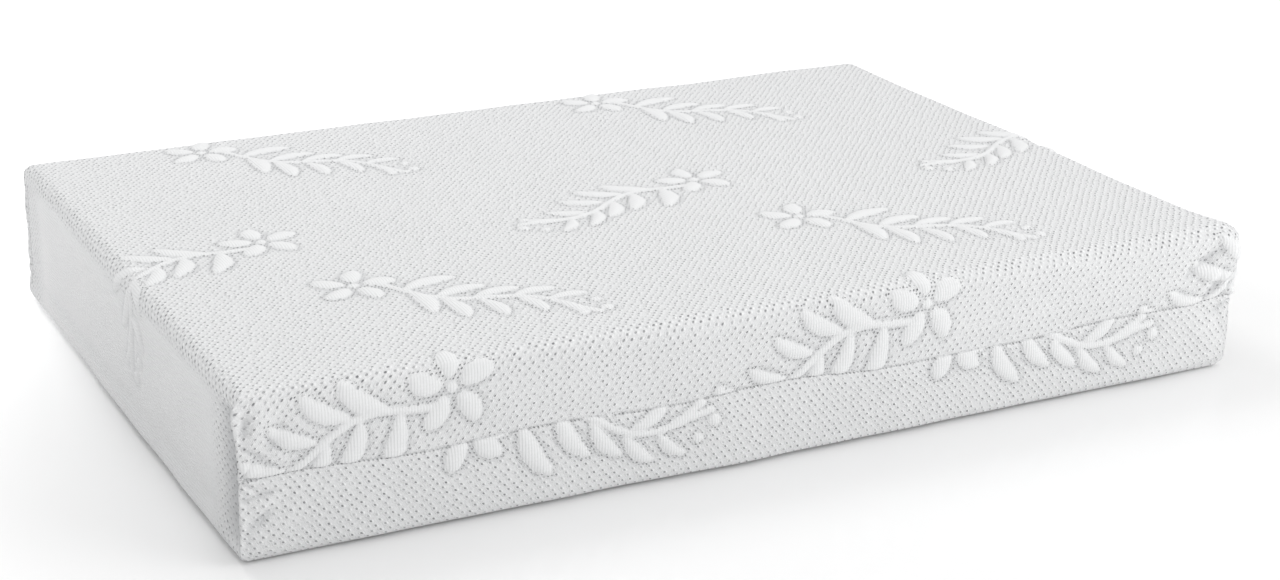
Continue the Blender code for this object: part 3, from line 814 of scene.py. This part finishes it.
for name, columns in (("cloth_place", (places[:, 0], places[:, 1], distance)),
                      ("cloth_kind", (holes, ribs, stretch)),
                      ("painted_fold_shade", (folds, groove, 0 * folds))):
    attribute = cover_mesh.attributes.new(name, "FLOAT_VECTOR", "CORNER")
    values = np.zeros((corner_count, 3), np.float32)
    if name == "cloth_place":
        at = read_points(cover_mesh)[[loop.vertex_index for loop in cover_mesh.loops]]
        values[:, 0], values[:, 1], values[:, 2] = at[:, 0] + at[:, 2], at[:, 1] + under_panel, 0.02
    if name == "cloth_kind":
        values[:, 0] = 0.9
    values[:len(corners)] = np.stack(columns, 1)
    attribute.data.foreach_set("vector", values.ravel())


def pinhole_group():
    """Staggered pinholes of a knit: a mask of the holes, a mask of a painted highlight beside each hole, and
    the height of the cloth round them.
    """
    tree = bpy.data.node_groups.new("knit_pinholes", "ShaderNodeTree")
    face = tree.interface
    face.new_socket("Place", in_out="INPUT", socket_type="NodeSocketVector")
    for name in ("Across", "Row", "Size", "Wander"):
        face.new_socket(name, in_out="INPUT", socket_type="NodeSocketFloat")
    for name in ("Hole", "Highlight", "Height"):
        face.new_socket(name, in_out="OUTPUT", socket_type="NodeSocketFloat")
    given = add_node(tree, "NodeGroupInput").outputs
    result = add_node(tree, "NodeGroupOutput").inputs
    place = axes(tree, given["Place"])
    shift = []
    for axis, scale in ((0, 33.0), (1, 41.0)):
        wander = maths(tree, "SUBTRACT", cloud(tree, given["Place"], scale, 3.0), 0.5)
        shift.append(maths(tree, "MULTIPLY_ADD", wander, given["Wander"], place[axis]))
    row = maths(tree, "DIVIDE", shift[1], given["Row"])
    odd = maths(tree, "MODULO", maths(tree, "FLOOR", row), 2.0)
    column = maths(tree, "MULTIPLY_ADD", odd, 0.5, maths(tree, "DIVIDE", shift[0], given["Across"]))
    cell = pair(tree, maths(tree, "FLOOR", column), maths(tree, "FLOOR", row))
    chance = add_node(tree, "ShaderNodeTexWhiteNoise", noise_dimensions="2D")
    feed(tree, chance.inputs["Vector"], cell)
    stray_x, stray_y, _ = axes(tree, chance.outputs["Color"])
    in_column = maths(tree, "MULTIPLY_ADD", stray_x, 0.26, maths(tree, "FRACT", column))
    in_row = maths(tree, "MULTIPLY_ADD", stray_y, 0.20, maths(tree, "FRACT", row))
    off_x = maths(tree, "MULTIPLY", maths(tree, "SUBTRACT", in_column, 0.63), given["Across"])
    off_y = maths(tree, "MULTIPLY", maths(tree, "SUBTRACT", in_row, 0.60), given["Row"])
    slant = maths(tree, "MULTIPLY_ADD", off_y, -0.45, off_x)
    out = maths(tree, "DIVIDE", span(tree, slant, off_y), given["Size"])
    depth = between(tree, chance.outputs["Value"], 0.0, 1.0, 0.45, 1.0)
    hole = maths(tree, "MULTIPLY", between(tree, out, 0.45, 1.15, 1.0, 0.0), depth)
    # A painted highlight: a bright spot on the cloth to one side of each hole.
    highlight_x = maths(tree, "SUBTRACT", slant, maths(tree, "MULTIPLY", given["Size"], 1.9))
    beside = maths(tree, "DIVIDE", span(tree, highlight_x, off_y), given["Size"])
    beside = between(tree, beside, 0.3, 1.4, 1.0, 0.0)
    collar = between(tree, maths(tree, "ABSOLUTE", maths(tree, "SUBTRACT", out, 1.7)), 0.0, 0.9, 1.0, 0.0)
    feed(tree, result["Hole"], hole)
    feed(tree, result["Highlight"], beside)
    sunk = maths(tree, "SUBTRACT", 0.65, hole)
    feed(tree, result["Height"], maths(tree, "MULTIPLY_ADD", collar, 0.35, sunk))
    return tree


def place_pinholes(tree, group, place, across, row, size, wander):
    """The pinhole group in a finish."""
    node = add_node(tree, "ShaderNodeGroup", node_tree=group)
    names = ("Place", "Across", "Row", "Size", "Wander")
    for name, value in zip(names, (place, across, row, size, wander)):
        feed(tree, node.inputs[name], value)
    return node.outputs["Hole"], node.outputs["Highlight"], node.outputs["Height"]


def wave(tree, place, pitch):
    """Parallel ridges of that pitch along a coordinate, from 0 to 1."""
    turn = maths(tree, "MULTIPLY", place, tau / pitch)
    return maths(tree, "MULTIPLY_ADD", maths(tree, "SINE", turn), 0.5, 0.5)


def knit_finish(pinholes):
    """The jacquard: a pinhole field, a closer row of holes round each sprig, and ribs on what is raised,
    with painted shade in the holes, the corner groove and the hollows, and painted highlights beside the
    holes and on ridges.
    """
    made, tree, shader = new_finish("white_jacquard_knit", 0.88, sheen=0.22)
    shader.inputs["Specular IOR Level"].default_value = 0.25
    holes, ribs, stretch = axes(tree, written(tree, "cloth_kind"))
    u, v, distance = axes(tree, written(tree, "cloth_place"))
    hollow_shade_ridge_light, groove, _ = axes(tree, written(tree, "painted_fold_shade"))
    flat = pair(tree, u, v)
    size = maths(tree, "MULTIPLY_ADD", stretch, 0.00025, maths(tree, "MULTIPLY", holes, 0.00078))
    field, beside, field_height = place_pinholes(tree, pinholes, flat, 0.0063, 0.0036, size, 0.0030)
    close, _, _ = place_pinholes(tree, pinholes, flat, 0.0030, 0.0026, 0.00075, 0.0012)
    raised = between(tree, distance, -0.0016, 0.0002, 1.0, 0.0)
    off_ring = maths(tree, "ABSOLUTE", maths(tree, "SUBTRACT", distance, 0.0012))
    ring = between(tree, off_ring, 0.0006, 0.0014, 1.0, 0.0)
    bare = maths(tree, "SUBTRACT", 1.0, maths(tree, "MAXIMUM", raised, ring))
    patchy = between(tree, cloud(tree, flat, 170.0, 3.0), 0.30, 0.62, 0.55, 1.0)
    strength = maths(tree, "MULTIPLY", maths(tree, "MINIMUM", holes, 1.0), patchy)
    field = maths(tree, "MULTIPLY", maths(tree, "MULTIPLY", field, bare), strength)
    close = maths(tree, "MULTIPLY", maths(tree, "MULTIPLY", close, ring), between(tree, holes, 0.0, 0.5))
    hole = maths(tree, "MAXIMUM", field, close)
    aslant = maths(tree, "MULTIPLY_ADD", v, 0.5, u)
    stitches = maths(tree, "MULTIPLY", wave(tree, aslant, 0.00125), wave(tree, v, 0.0009))
    cloth = maths(tree, "MULTIPLY_ADD", stitches, 0.22, maths(tree, "MULTIPLY", field_height, strength))
    courses = maths(tree, "MULTIPLY_ADD", wave(tree, v, 0.0024), 0.10, 0.45)
    raised_cloth = maths(tree, "MULTIPLY_ADD", wave(tree, u, 0.0021), 0.30, courses)
    end_courses = maths(tree, "MULTIPLY_ADD", wave(tree, u, 0.0026), 0.34, 0.4)
    at_end = maths(tree, "MULTIPLY", ribs, maths(tree, "SUBTRACT", 1.0, raised))
    relief = mix(tree, at_end, mix(tree, raised, cloth, raised_cloth), end_courses)
    height = maths(tree, "SUBTRACT", relief, maths(tree, "MULTIPLY", close, 0.8))
    bump(tree, shader, height, 0.0010, 0.85)
    fibre = weighed(tree, cloud(tree, flat, 900.0, 3.0), 0.5, cloud(tree, flat, 9.0), 0.5)
    yarn = blend(tree, fibre, (0.80, 0.806, 0.812), (0.865, 0.868, 0.872))
    # Painted shade: the pinholes are real openings, and their near-black colour is the shade inside them, a
    # little darker where the cloth is stretched.
    deep = maths(tree, "MULTIPLY", hole, maths(tree, "MULTIPLY_ADD", stretch, 0.15, 0.85), clamp=True)
    # Painted highlight: the yarn beside each hole is lightened towards white.
    hole_highlight = maths(tree, "MULTIPLY", maths(tree, "MULTIPLY", beside, strength), bare, clamp=True)
    yarn = blend(tree, hole_highlight, yarn, painted_highlight_white)
    grain = between(tree, cloud(tree, flat, 520.0, 2.0), 0.35, 0.68)
    grain = maths(tree, "MULTIPLY", grain, maths(tree, "MULTIPLY", bare, 0.26))
    yarn = blend(tree, grain, yarn, (0.66, 0.665, 0.675))
    # Painted shade: the cloth is darkened towards grey in the corner groove and in the hollows.
    shade = weighed(tree, groove, 0.60, hollow_shade_ridge_light, 0.27, clamp=True)
    yarn = blend(tree, shade, yarn, (0.36, 0.37, 0.385))
    # Painted highlight: the cloth is lightened on ridges.
    yarn = blend(tree, maths(tree, "MULTIPLY", hollow_shade_ridge_light, -0.10, clamp=True), yarn, painted_highlight_white)
    feed(tree, shader.inputs["Base Color"], blend(tree, deep, yarn, (0.21, 0.215, 0.225)))
    return made


cover = new_piece("knit_cover_panel", cover_mesh, knit_finish(pinhole_group()))
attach(cover, "root")
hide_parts("cover_panel")

# --- Overlocked seams ------------------------------------------------------------------------
# White polyester thread. It joins the two flaps along each long side and round to the zip, and
# each side to the folded end. Only the short needle stitches show, sunk in the crease.

stitch_pitch = 0.0027
stitch_long, stitch_thick = 0.0020, 0.00055
line_step = 0.002
corner_seam_inset = 0.0065


def thread_finish():
    """Twisted polyester thread."""
    made, tree, shader = new_finish("white_overlock_thread", 0.62, sheen=0.2)
    x, y, z = axes(tree, object_place(tree))
    twist = wave(tree, maths(tree, "ADD", maths(tree, "ADD", x, y), z), 0.0004)
    shade = weighed(tree, cloud(tree, object_place(tree), 60.0), 0.5, twist, 0.5, clamp=True)
    feed(tree, shader.inputs["Base Color"], blend(tree, shade, (0.62, 0.63, 0.64), (0.80, 0.80, 0.80)))
    bump(tree, shader, twist, 0.00008)
    return made


def stitch_row(name, line, outward, pitch, finish):
    """Short stitches along a line of points, each a small spindle that lies on the cloth."""
    steps = np.linalg.norm(np.diff(line, axis=0), axis=1)
    lengths = np.concatenate([[0.0], np.cumsum(steps)])
    points, faces = [], []
    rings, around = (-1.0, -0.62, 0.0, 0.62, 1.0), 6
    for at in np.arange(pitch / 2, lengths[-1], pitch):
        middle = np.array([np.interp(at, lengths, line[:, axis]) for axis in range(3)])
        ahead = np.array([np.interp(at + 0.0008, lengths, line[:, axis]) for axis in range(3)]) - middle
        up = np.array([np.interp(at, lengths, outward[:, axis]) for axis in range(3)])
        ahead /= max(np.linalg.norm(ahead), 1e-9)
        beside = np.cross(up, ahead)
        start = len(points)
        for ring in rings:
            thick = stitch_thick / 2 * np.sqrt(1 - min(ring * ring, 0.94))
            for step in range(around):
                turn = tau * step / around
                around_thread = thick * (beside * cos(turn) + up * sin(turn))
                points.append(middle + ahead * ring * stitch_long / 2 + around_thread)
        for ring in range(len(rings) - 1):
            for step in range(around):
                a, b = start + ring * around + step, start + ring * around + (step + 1) % around
                faces.append([a, b, b + around, a + around])
        faces.append([start + step for step in reversed(range(around))])
        faces.append([start + (len(rings) - 1) * around + step for step in range(around)])
    return new_piece(name, new_mesh(name, points, faces), finish)


def on_cover(line, outward, proud):
    """Lays a line on the draped cover."""
    return drape(line, outward) + outward * proud


thread = thread_finish()
zip_end = cover_high[0]
for name, side_sign in (("front", -1), ("back", 1)):
    run = np.arange(cover_low[0] + 0.003, zip_end - zip_corner, line_step)
    angles = np.linspace(-pi / 2, 0.0, 14)
    arc = xyz(zip_end - zip_corner + zip_corner * np.cos(angles),
              zip_corner - width / 2 + zip_corner * np.sin(angles), seam_height)
    end_run = np.arange(zip_corner - width / 2 + 0.002, -slot_half_width - 0.001, line_step)
    line = np.concatenate([xyz(run, -width / 2, seam_height), arc, xyz(zip_end, end_run, seam_height)])
    outward = np.concatenate([np.tile([0.0, -1.0, 0.0], (len(run), 1)),
                              xyz(np.cos(angles), np.sin(angles), 0 * angles),
                              np.tile([1.0, 0.0, 0.0], (len(end_run), 1))])
    mirror = np.array([1.0, -side_sign, 1.0])
    line, outward = line * mirror, outward * mirror
    seam = stitch_row("side_seam_stitches_" + name, on_cover(line, outward, 0.0001), outward,
                      stitch_pitch, thread)
    heights = np.arange(0.014, height - 0.013, line_step)
    upright = xyz(cover_low[0], side_sign * (width / 2 - corner_seam_inset), heights)
    facing = np.tile([-1.0, 0.0, 0.0], (len(heights), 1))
    corner_seam = stitch_row("corner_seam_stitches_" + name, on_cover(upright, facing, 0.0002), facing,
                             stitch_pitch, thread)
    for piece, node in ((seam, "side_seam_" + name), (corner_seam, "corner_seam_" + name)):
        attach(piece, "root")
        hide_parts(node)

# --- Zip tapes and coils ---------------------------------------------------------------------
# Two woven polyester tapes sewn behind the turned-in edges of the slot, each carrying a row of
# nylon coil. The coil is one monofilament wound round a cord; the slider runs between the rows.

coil_turn = 0.00125
coil_wire = 0.00050
head_rise = 0.00012
topstitch_pitch = 0.0030


def tape_finish():
    """Herringbone tape: slanted ribs that change direction every few threads."""
    made, tree, shader = new_finish("woven_zip_tape", 0.80, sheen=0.2)
    _, y, z = axes(tree, object_place(tree))
    twill = wave(tree, maths(tree, "ADD", y, maths(tree, "PINGPONG", z, 0.0016)), 0.0008)
    weave = weighed(tree, wave(tree, z, 0.0004), 0.25, twill, 0.75)
    feed(tree, shader.inputs["Base Color"], blend(tree, weave, (0.62, 0.62, 0.63), (0.83, 0.83, 0.83)))
    bump(tree, shader, weave, 0.00018)
    return made


def nylon_finish():
    """Clear white moulded monofilament."""
    made, tree, shader = new_finish("white_nylon_coil", 0.30)
    haze = cloud(tree, object_place(tree), 400.0)
    feed(tree, shader.inputs["Base Color"], blend(tree, haze, (0.76, 0.77, 0.78), (0.87, 0.87, 0.87)))
    feed(tree, shader.inputs["Roughness"], between(tree, haze, 0.2, 0.8, 0.24, 0.38))
    bump(tree, shader, haze, 0.00003)
    return made


def wound_coil(name, low, high, lane_side, finish):
    """A flattened coil: rounded turns with a broad head beside the lane, closed at both ends."""
    per_turn, around = 12, 5
    turns = int((high[1] - low[1]) / coil_turn)
    middle = (low + high) / 2
    reach_x = (high[0] - low[0]) / 2 - coil_wire / 2
    reach_z = (high[2] - low[2]) / 2 - coil_wire / 2 + head_rise
    shift = -lane_side * head_rise
    wind = np.arange(turns * per_turn + 1) * tau / per_turn
    square = 0.72
    sweep_x = np.sign(np.cos(wind)) * abs(np.cos(wind)) ** square
    sweep_z = np.sign(np.sin(wind)) * abs(np.sin(wind)) ** square
    advance = wind / tau * (high[1] - low[1] - coil_wire) / turns
    line = xyz(middle[0] + reach_x * sweep_x, low[1] + coil_wire / 2 + advance,
               middle[2] + shift + reach_z * sweep_z)
    ahead = np.gradient(line, axis=0)
    ahead /= np.linalg.norm(ahead, axis=1)[:, None]
    out = line - xyz(middle[0], line[:, 1], middle[2])
    out -= (out * ahead).sum(1)[:, None] * ahead
    out /= np.linalg.norm(out, axis=1)[:, None]
    beside = np.cross(ahead, out)
    turn = np.arange(around) * tau / around
    head = 1 + 0.35 * np.clip(-lane_side * np.sin(wind), 0, 1) ** 4
    lengthwise = head[:, None] * np.sin(turn)[None]
    circle = out[:, None] * np.cos(turn)[None, :, None] + beside[:, None] * lengthwise[..., None]
    points = (line[:, None] + coil_wire / 2 * circle).reshape(-1, 3)
    first = np.arange(len(line) - 1)[:, None] * around
    here, after = first + np.arange(around), first + (np.arange(around) + 1) % around
    faces = np.stack([here, after, after + around, here + around], -1).reshape(-1, 4).tolist()
    faces.append(list(reversed(range(around))))
    faces.append(list(range(len(points) - around, len(points))))
    return new_piece(name, new_mesh(name, points, faces), finish)


tape_weave, nylon = tape_finish(), nylon_finish()
for name, lane_side in (("upper", 1), ("lower", -1)):
    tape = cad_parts["zip_tape_" + name]
    tape.data.materials.clear()
    tape.data.materials.append(tape_weave)
    coil_low, coil_high = (np.array(corner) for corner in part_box("zip_coil_" + name))
    coil = wound_coil("zip_coil_turns_" + name, coil_low, coil_high, lane_side, nylon)
    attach(coil, "root")
    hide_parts("zip_coil_" + name)
    run = np.arange(-slot_half_width - 0.002, slot_half_width + 0.002, 0.003)
    row_height = seam_height + lane_side * (slot_half_height + 0.0032)
    line = xyz(zip_end, run, row_height)
    facing = np.tile([1.0, 0.0, 0.0], (len(run), 1))
    topstitch = stitch_row("zip_topstitch_" + name, on_cover(line, facing, 0.00005), facing,
                           topstitch_pitch, thread)
    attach(topstitch, "root")

# --- Zip stops, slider and pull tab ----------------------------------------------------------
# Nickel-plated zinc. The stops are clamped on the tapes; the slider rides the coils between them,
# and its pull tab swings on a pin through the bridge.

metal_edge = 0.00018
tab_corner = 0.0021


def nickel_finish():
    """Bright nickel plate: faint tumbling marks, and patches of duller plate."""
    made, tree, shader = new_finish("nickel_plated_zinc", 0.26, metallic=1.0)
    place = object_place(tree)
    marks = cloud(tree, place, 900.0, 4.0)
    rubbed = cloud(tree, place, 120.0, 3.0)
    feed(tree, shader.inputs["Base Color"], blend(tree, rubbed, (0.60, 0.60, 0.61), (0.74, 0.73, 0.71)))
    feed(tree, shader.inputs["Roughness"], between(tree, marks, 0.3, 0.75, 0.18, 0.36))
    bump(tree, shader, marks, 0.00002, 0.5)
    return made


def cast_piece(node, name, body, round_end=False):
    """A small casting: the node's own shape with softened edges, and a rounded end on the pull tab."""
    shape = bmesh.new()
    shape.from_mesh(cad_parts[node].data)
    bmesh.ops.remove_doubles(shape, verts=shape.verts, dist=0.000005)
    bmesh.ops.dissolve_limit(shape, angle_limit=radians(1), verts=shape.verts, edges=shape.edges)
    if round_end:
        end = min(vert.co.y for vert in shape.verts)
        tip = [e for e in shape.edges if abs(e.verts[0].co.x - e.verts[1].co.x) > 0.0006
               and max(v.co.y for v in e.verts) < end + 0.0002]
        bmesh.ops.bevel(shape, geom=tip, offset=tab_corner, segments=6, affect="EDGES", profile=0.5)
        panel = max((f for f in shape.faces if f.normal.x > 0.9), key=lambda f: f.calc_area())
        bmesh.ops.inset_individual(shape, faces=[panel], thickness=0.0011, depth=0.0)
        bmesh.ops.inset_individual(shape, faces=[panel], thickness=0.0002, depth=-0.00016)
    sharp = [e for e in shape.edges if len(e.link_faces) == 2 and e.calc_face_angle() > radians(50)]
    bmesh.ops.bevel(shape, geom=sharp, offset=metal_edge, segments=2, affect="EDGES", clamp_overlap=True)
    mesh = bpy.data.meshes.new(name)
    shape.to_mesh(mesh)
    shape.free()
    mesh.shade_smooth()
    mesh.set_sharp_from_angle(angle=radians(42))
    piece = new_piece(name, mesh, nickel)
    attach(piece, body)
    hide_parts(node)
    return piece


nickel = nickel_finish()
for node in ("zip_bottom_stop", "zip_top_stop_upper", "zip_top_stop_lower"):
    cast_piece(node, node + "_clamp", "root")
cast_piece("zip_slider", "zip_slider_casting", "slider")
cast_piece("zip_pull_tab", "zip_pull_tab_casting", "pull_tab", round_end=True)

# --- Care label ------------------------------------------------------------------------------
# A blank strip of white polyester satin, folded double and caught in the seam under the zip.
# It hangs on the end flap with its fold down.

label_low, label_high = (np.array(corner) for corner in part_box("care_label"))
ply = 0.00021


def folded_label():
    """The strip's two plies and the fold between them, as one closed mesh."""
    wide, drop = label_high[1] - label_low[1], label_high[2] - label_low[2]
    thick = label_high[0] - label_low[0]
    bend = thick / 2
    down = np.linspace(0.0, drop - bend, 15)
    turn = np.linspace(0.0, pi, 9)[1:-1]
    rings = []
    for offset in (0.0, ply):
        radius = bend - offset
        front = [(bend + radius, -d) for d in down]
        tip = [(bend + radius * cos(t), -(drop - bend) - radius * sin(t)) for t in turn]
        rings.append(np.array(front + tip + [(bend - radius, -d) for d in reversed(down)]))
    profile = np.concatenate([rings[0], rings[1][::-1]])
    across = np.linspace(0.0, wide, 19)
    points = []
    for place in across:
        curl = 0.0004 * sin(pi * place / wide) + 0.0005 * (2 * place / wide - 1) ** 2
        lift = (profile[:, 1] / drop) ** 2 * curl
        points.append(xyz(label_low[0] + profile[:, 0] + lift, label_low[1] + place,
                          label_high[2] + profile[:, 1]))
    size = len(profile)
    faces = []
    for strip in range(len(across) - 1):
        for here in range(size):
            after = (here + 1) % size
            base = strip * size
            faces.append([base + here, base + after, base + size + after, base + size + here])
    last = (len(across) - 1) * size
    half = size // 2
    for k in range(half - 1):
        faces.append([size - 1 - k, size - 2 - k, k + 1, k])
        faces.append([last + k, last + k + 1, last + size - 2 - k, last + size - 1 - k])
    points = np.concatenate(points)
    lying = np.tile([1.0, 0.0, 0.0], (len(points), 1))
    points[:, 0] = drape(points, lying)[:, 0]
    return new_mesh("blank_satin_label", points, faces)


def satin_finish():
    """Satin: long floats that shine along the weft, crossed by a finer weave."""
    made, tree, shader = new_finish("white_satin_label", 0.36, sheen=0.1)
    _, y, z = axes(tree, object_place(tree))
    floats = wave(tree, maths(tree, "MULTIPLY_ADD", z, 0.15, y), 0.00028)
    weave = weighed(tree, wave(tree, z, 0.00035), 0.35, floats, 0.65)
    feed(tree, shader.inputs["Base Color"], blend(tree, weave, (0.76, 0.76, 0.76), (0.88, 0.88, 0.87)))
    feed(tree, shader.inputs["Roughness"], between(tree, weave, 0.0, 1.0, 0.46, 0.30))
    bump(tree, shader, weave, 0.00005)
    shader.inputs["Anisotropic"].default_value = 0.4
    return made


label = new_piece("blank_satin_label", folded_label(), satin_finish())
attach(label, "root")
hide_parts("care_label")

# --- Floor, light and camera -----------------------------------------------------------------
# A white studio: a pale, slightly glossy floor that glows away from the mattress, which leaves a painted
# soft shadow round it, soft light from all round, a small lamp behind and a broad one in front. The floor
# lies a hair below the cover.

horizon_light, zenith_light, key_power, fill_power = 0.49, 0.97, 7.5, 15.5
floor_half, floor_height = 6, -0.0003
floor_corners = [(x * floor_half, y * floor_half, floor_height)
                 for x, y in ((-1, -1), (1, -1), (1, 1), (-1, 1))]
floor_mesh = new_mesh("studio_floor", floor_corners, [[0, 1, 2, 3]])
floor_finish, tree, shader = new_finish("pale_floor", 0.12)
feed(tree, shader.inputs["Base Color"], (0.95, 0.95, 0.95))
# Painted shadow: the floor does not glow near the front of the mattress, and glows more and more away from
# it.
reach = add_node(tree, "ShaderNodeVectorMath", operation="LENGTH")
from_shadow_middle = add_node(tree, "ShaderNodeVectorMath", operation="SUBTRACT")
feed(tree, from_shadow_middle.inputs[0], object_place(tree))
from_shadow_middle.inputs[1].default_value = (0.03, -0.34, 0.0)
feed(tree, reach.inputs[0], from_shadow_middle.outputs[0])
shader.inputs["Emission Color"].default_value = (1, 1, 1, 1)
feed(tree, shader.inputs["Emission Strength"], between(tree, reach.outputs["Value"], 0.50, 0.90, 0.0, 0.42))
floor = new_piece("studio_floor", floor_mesh, floor_finish)

world = bpy.data.worlds.new("white_studio")
bpy.context.scene.world = world
world.use_nodes = True
tree = world.node_tree
sky_x, _, sky_z = axes(tree, add_node(tree, "ShaderNodeTexCoord").outputs["Generated"])
dome_light = between(tree, sky_z, -0.05, 0.95, horizon_light, zenith_light)
dome_light = maths(tree, "MULTIPLY", dome_light, between(tree, sky_x, -1.0, 0.0, 0.84, 1.0))
seen = add_node(tree, "ShaderNodeLightPath").outputs["Is Camera Ray"]
feed(tree, tree.nodes["Background"].inputs["Color"], (1.0, 1.0, 1.0))
feed(tree, tree.nodes["Background"].inputs["Strength"], mix(tree, seen, dome_light, 1.02))

for name, place, size, power in (("back_key", (-0.45, 0.9, 1.7), 0.8, key_power),
                                 ("front_fill", (1.3, -1.7, 0.9), 1.4, fill_power)):
    light = bpy.data.lights.new(name, "AREA")
    light.shape, light.size, light.energy = "SQUARE", size, power
    lamp = bpy.data.objects.new(name, light)
    bpy.context.scene.collection.objects.link(lamp)
    lamp.location = place
    lamp.rotation_euler = (-lamp.location).to_track_quat("-Z", "Y").to_euler()

camera_data = bpy.data.cameras.new("camera")
camera_data.lens = 67.12
camera_data.sensor_width = 36
camera = bpy.data.objects.new("camera", camera_data)
bpy.context.scene.collection.objects.link(camera)
yaw, pitch, roll = radians(27.17), radians(19.95), radians(0.57)
forward = Vector((sin(yaw) * cos(pitch), cos(yaw) * cos(pitch), -sin(pitch)))
level = Vector((cos(yaw), -sin(yaw), 0))
above = level.cross(forward)
right = cos(roll) * level + sin(roll) * above
up = cos(roll) * above - sin(roll) * level
turn = Matrix((right, up, -forward)).transposed()
camera.matrix_world = Matrix.Translation((-0.8041, -1.6229, 0.6937)) @ turn.to_4x4()
bpy.context.scene.camera = camera
bpy.context.scene.view_settings.view_transform = "Standard"
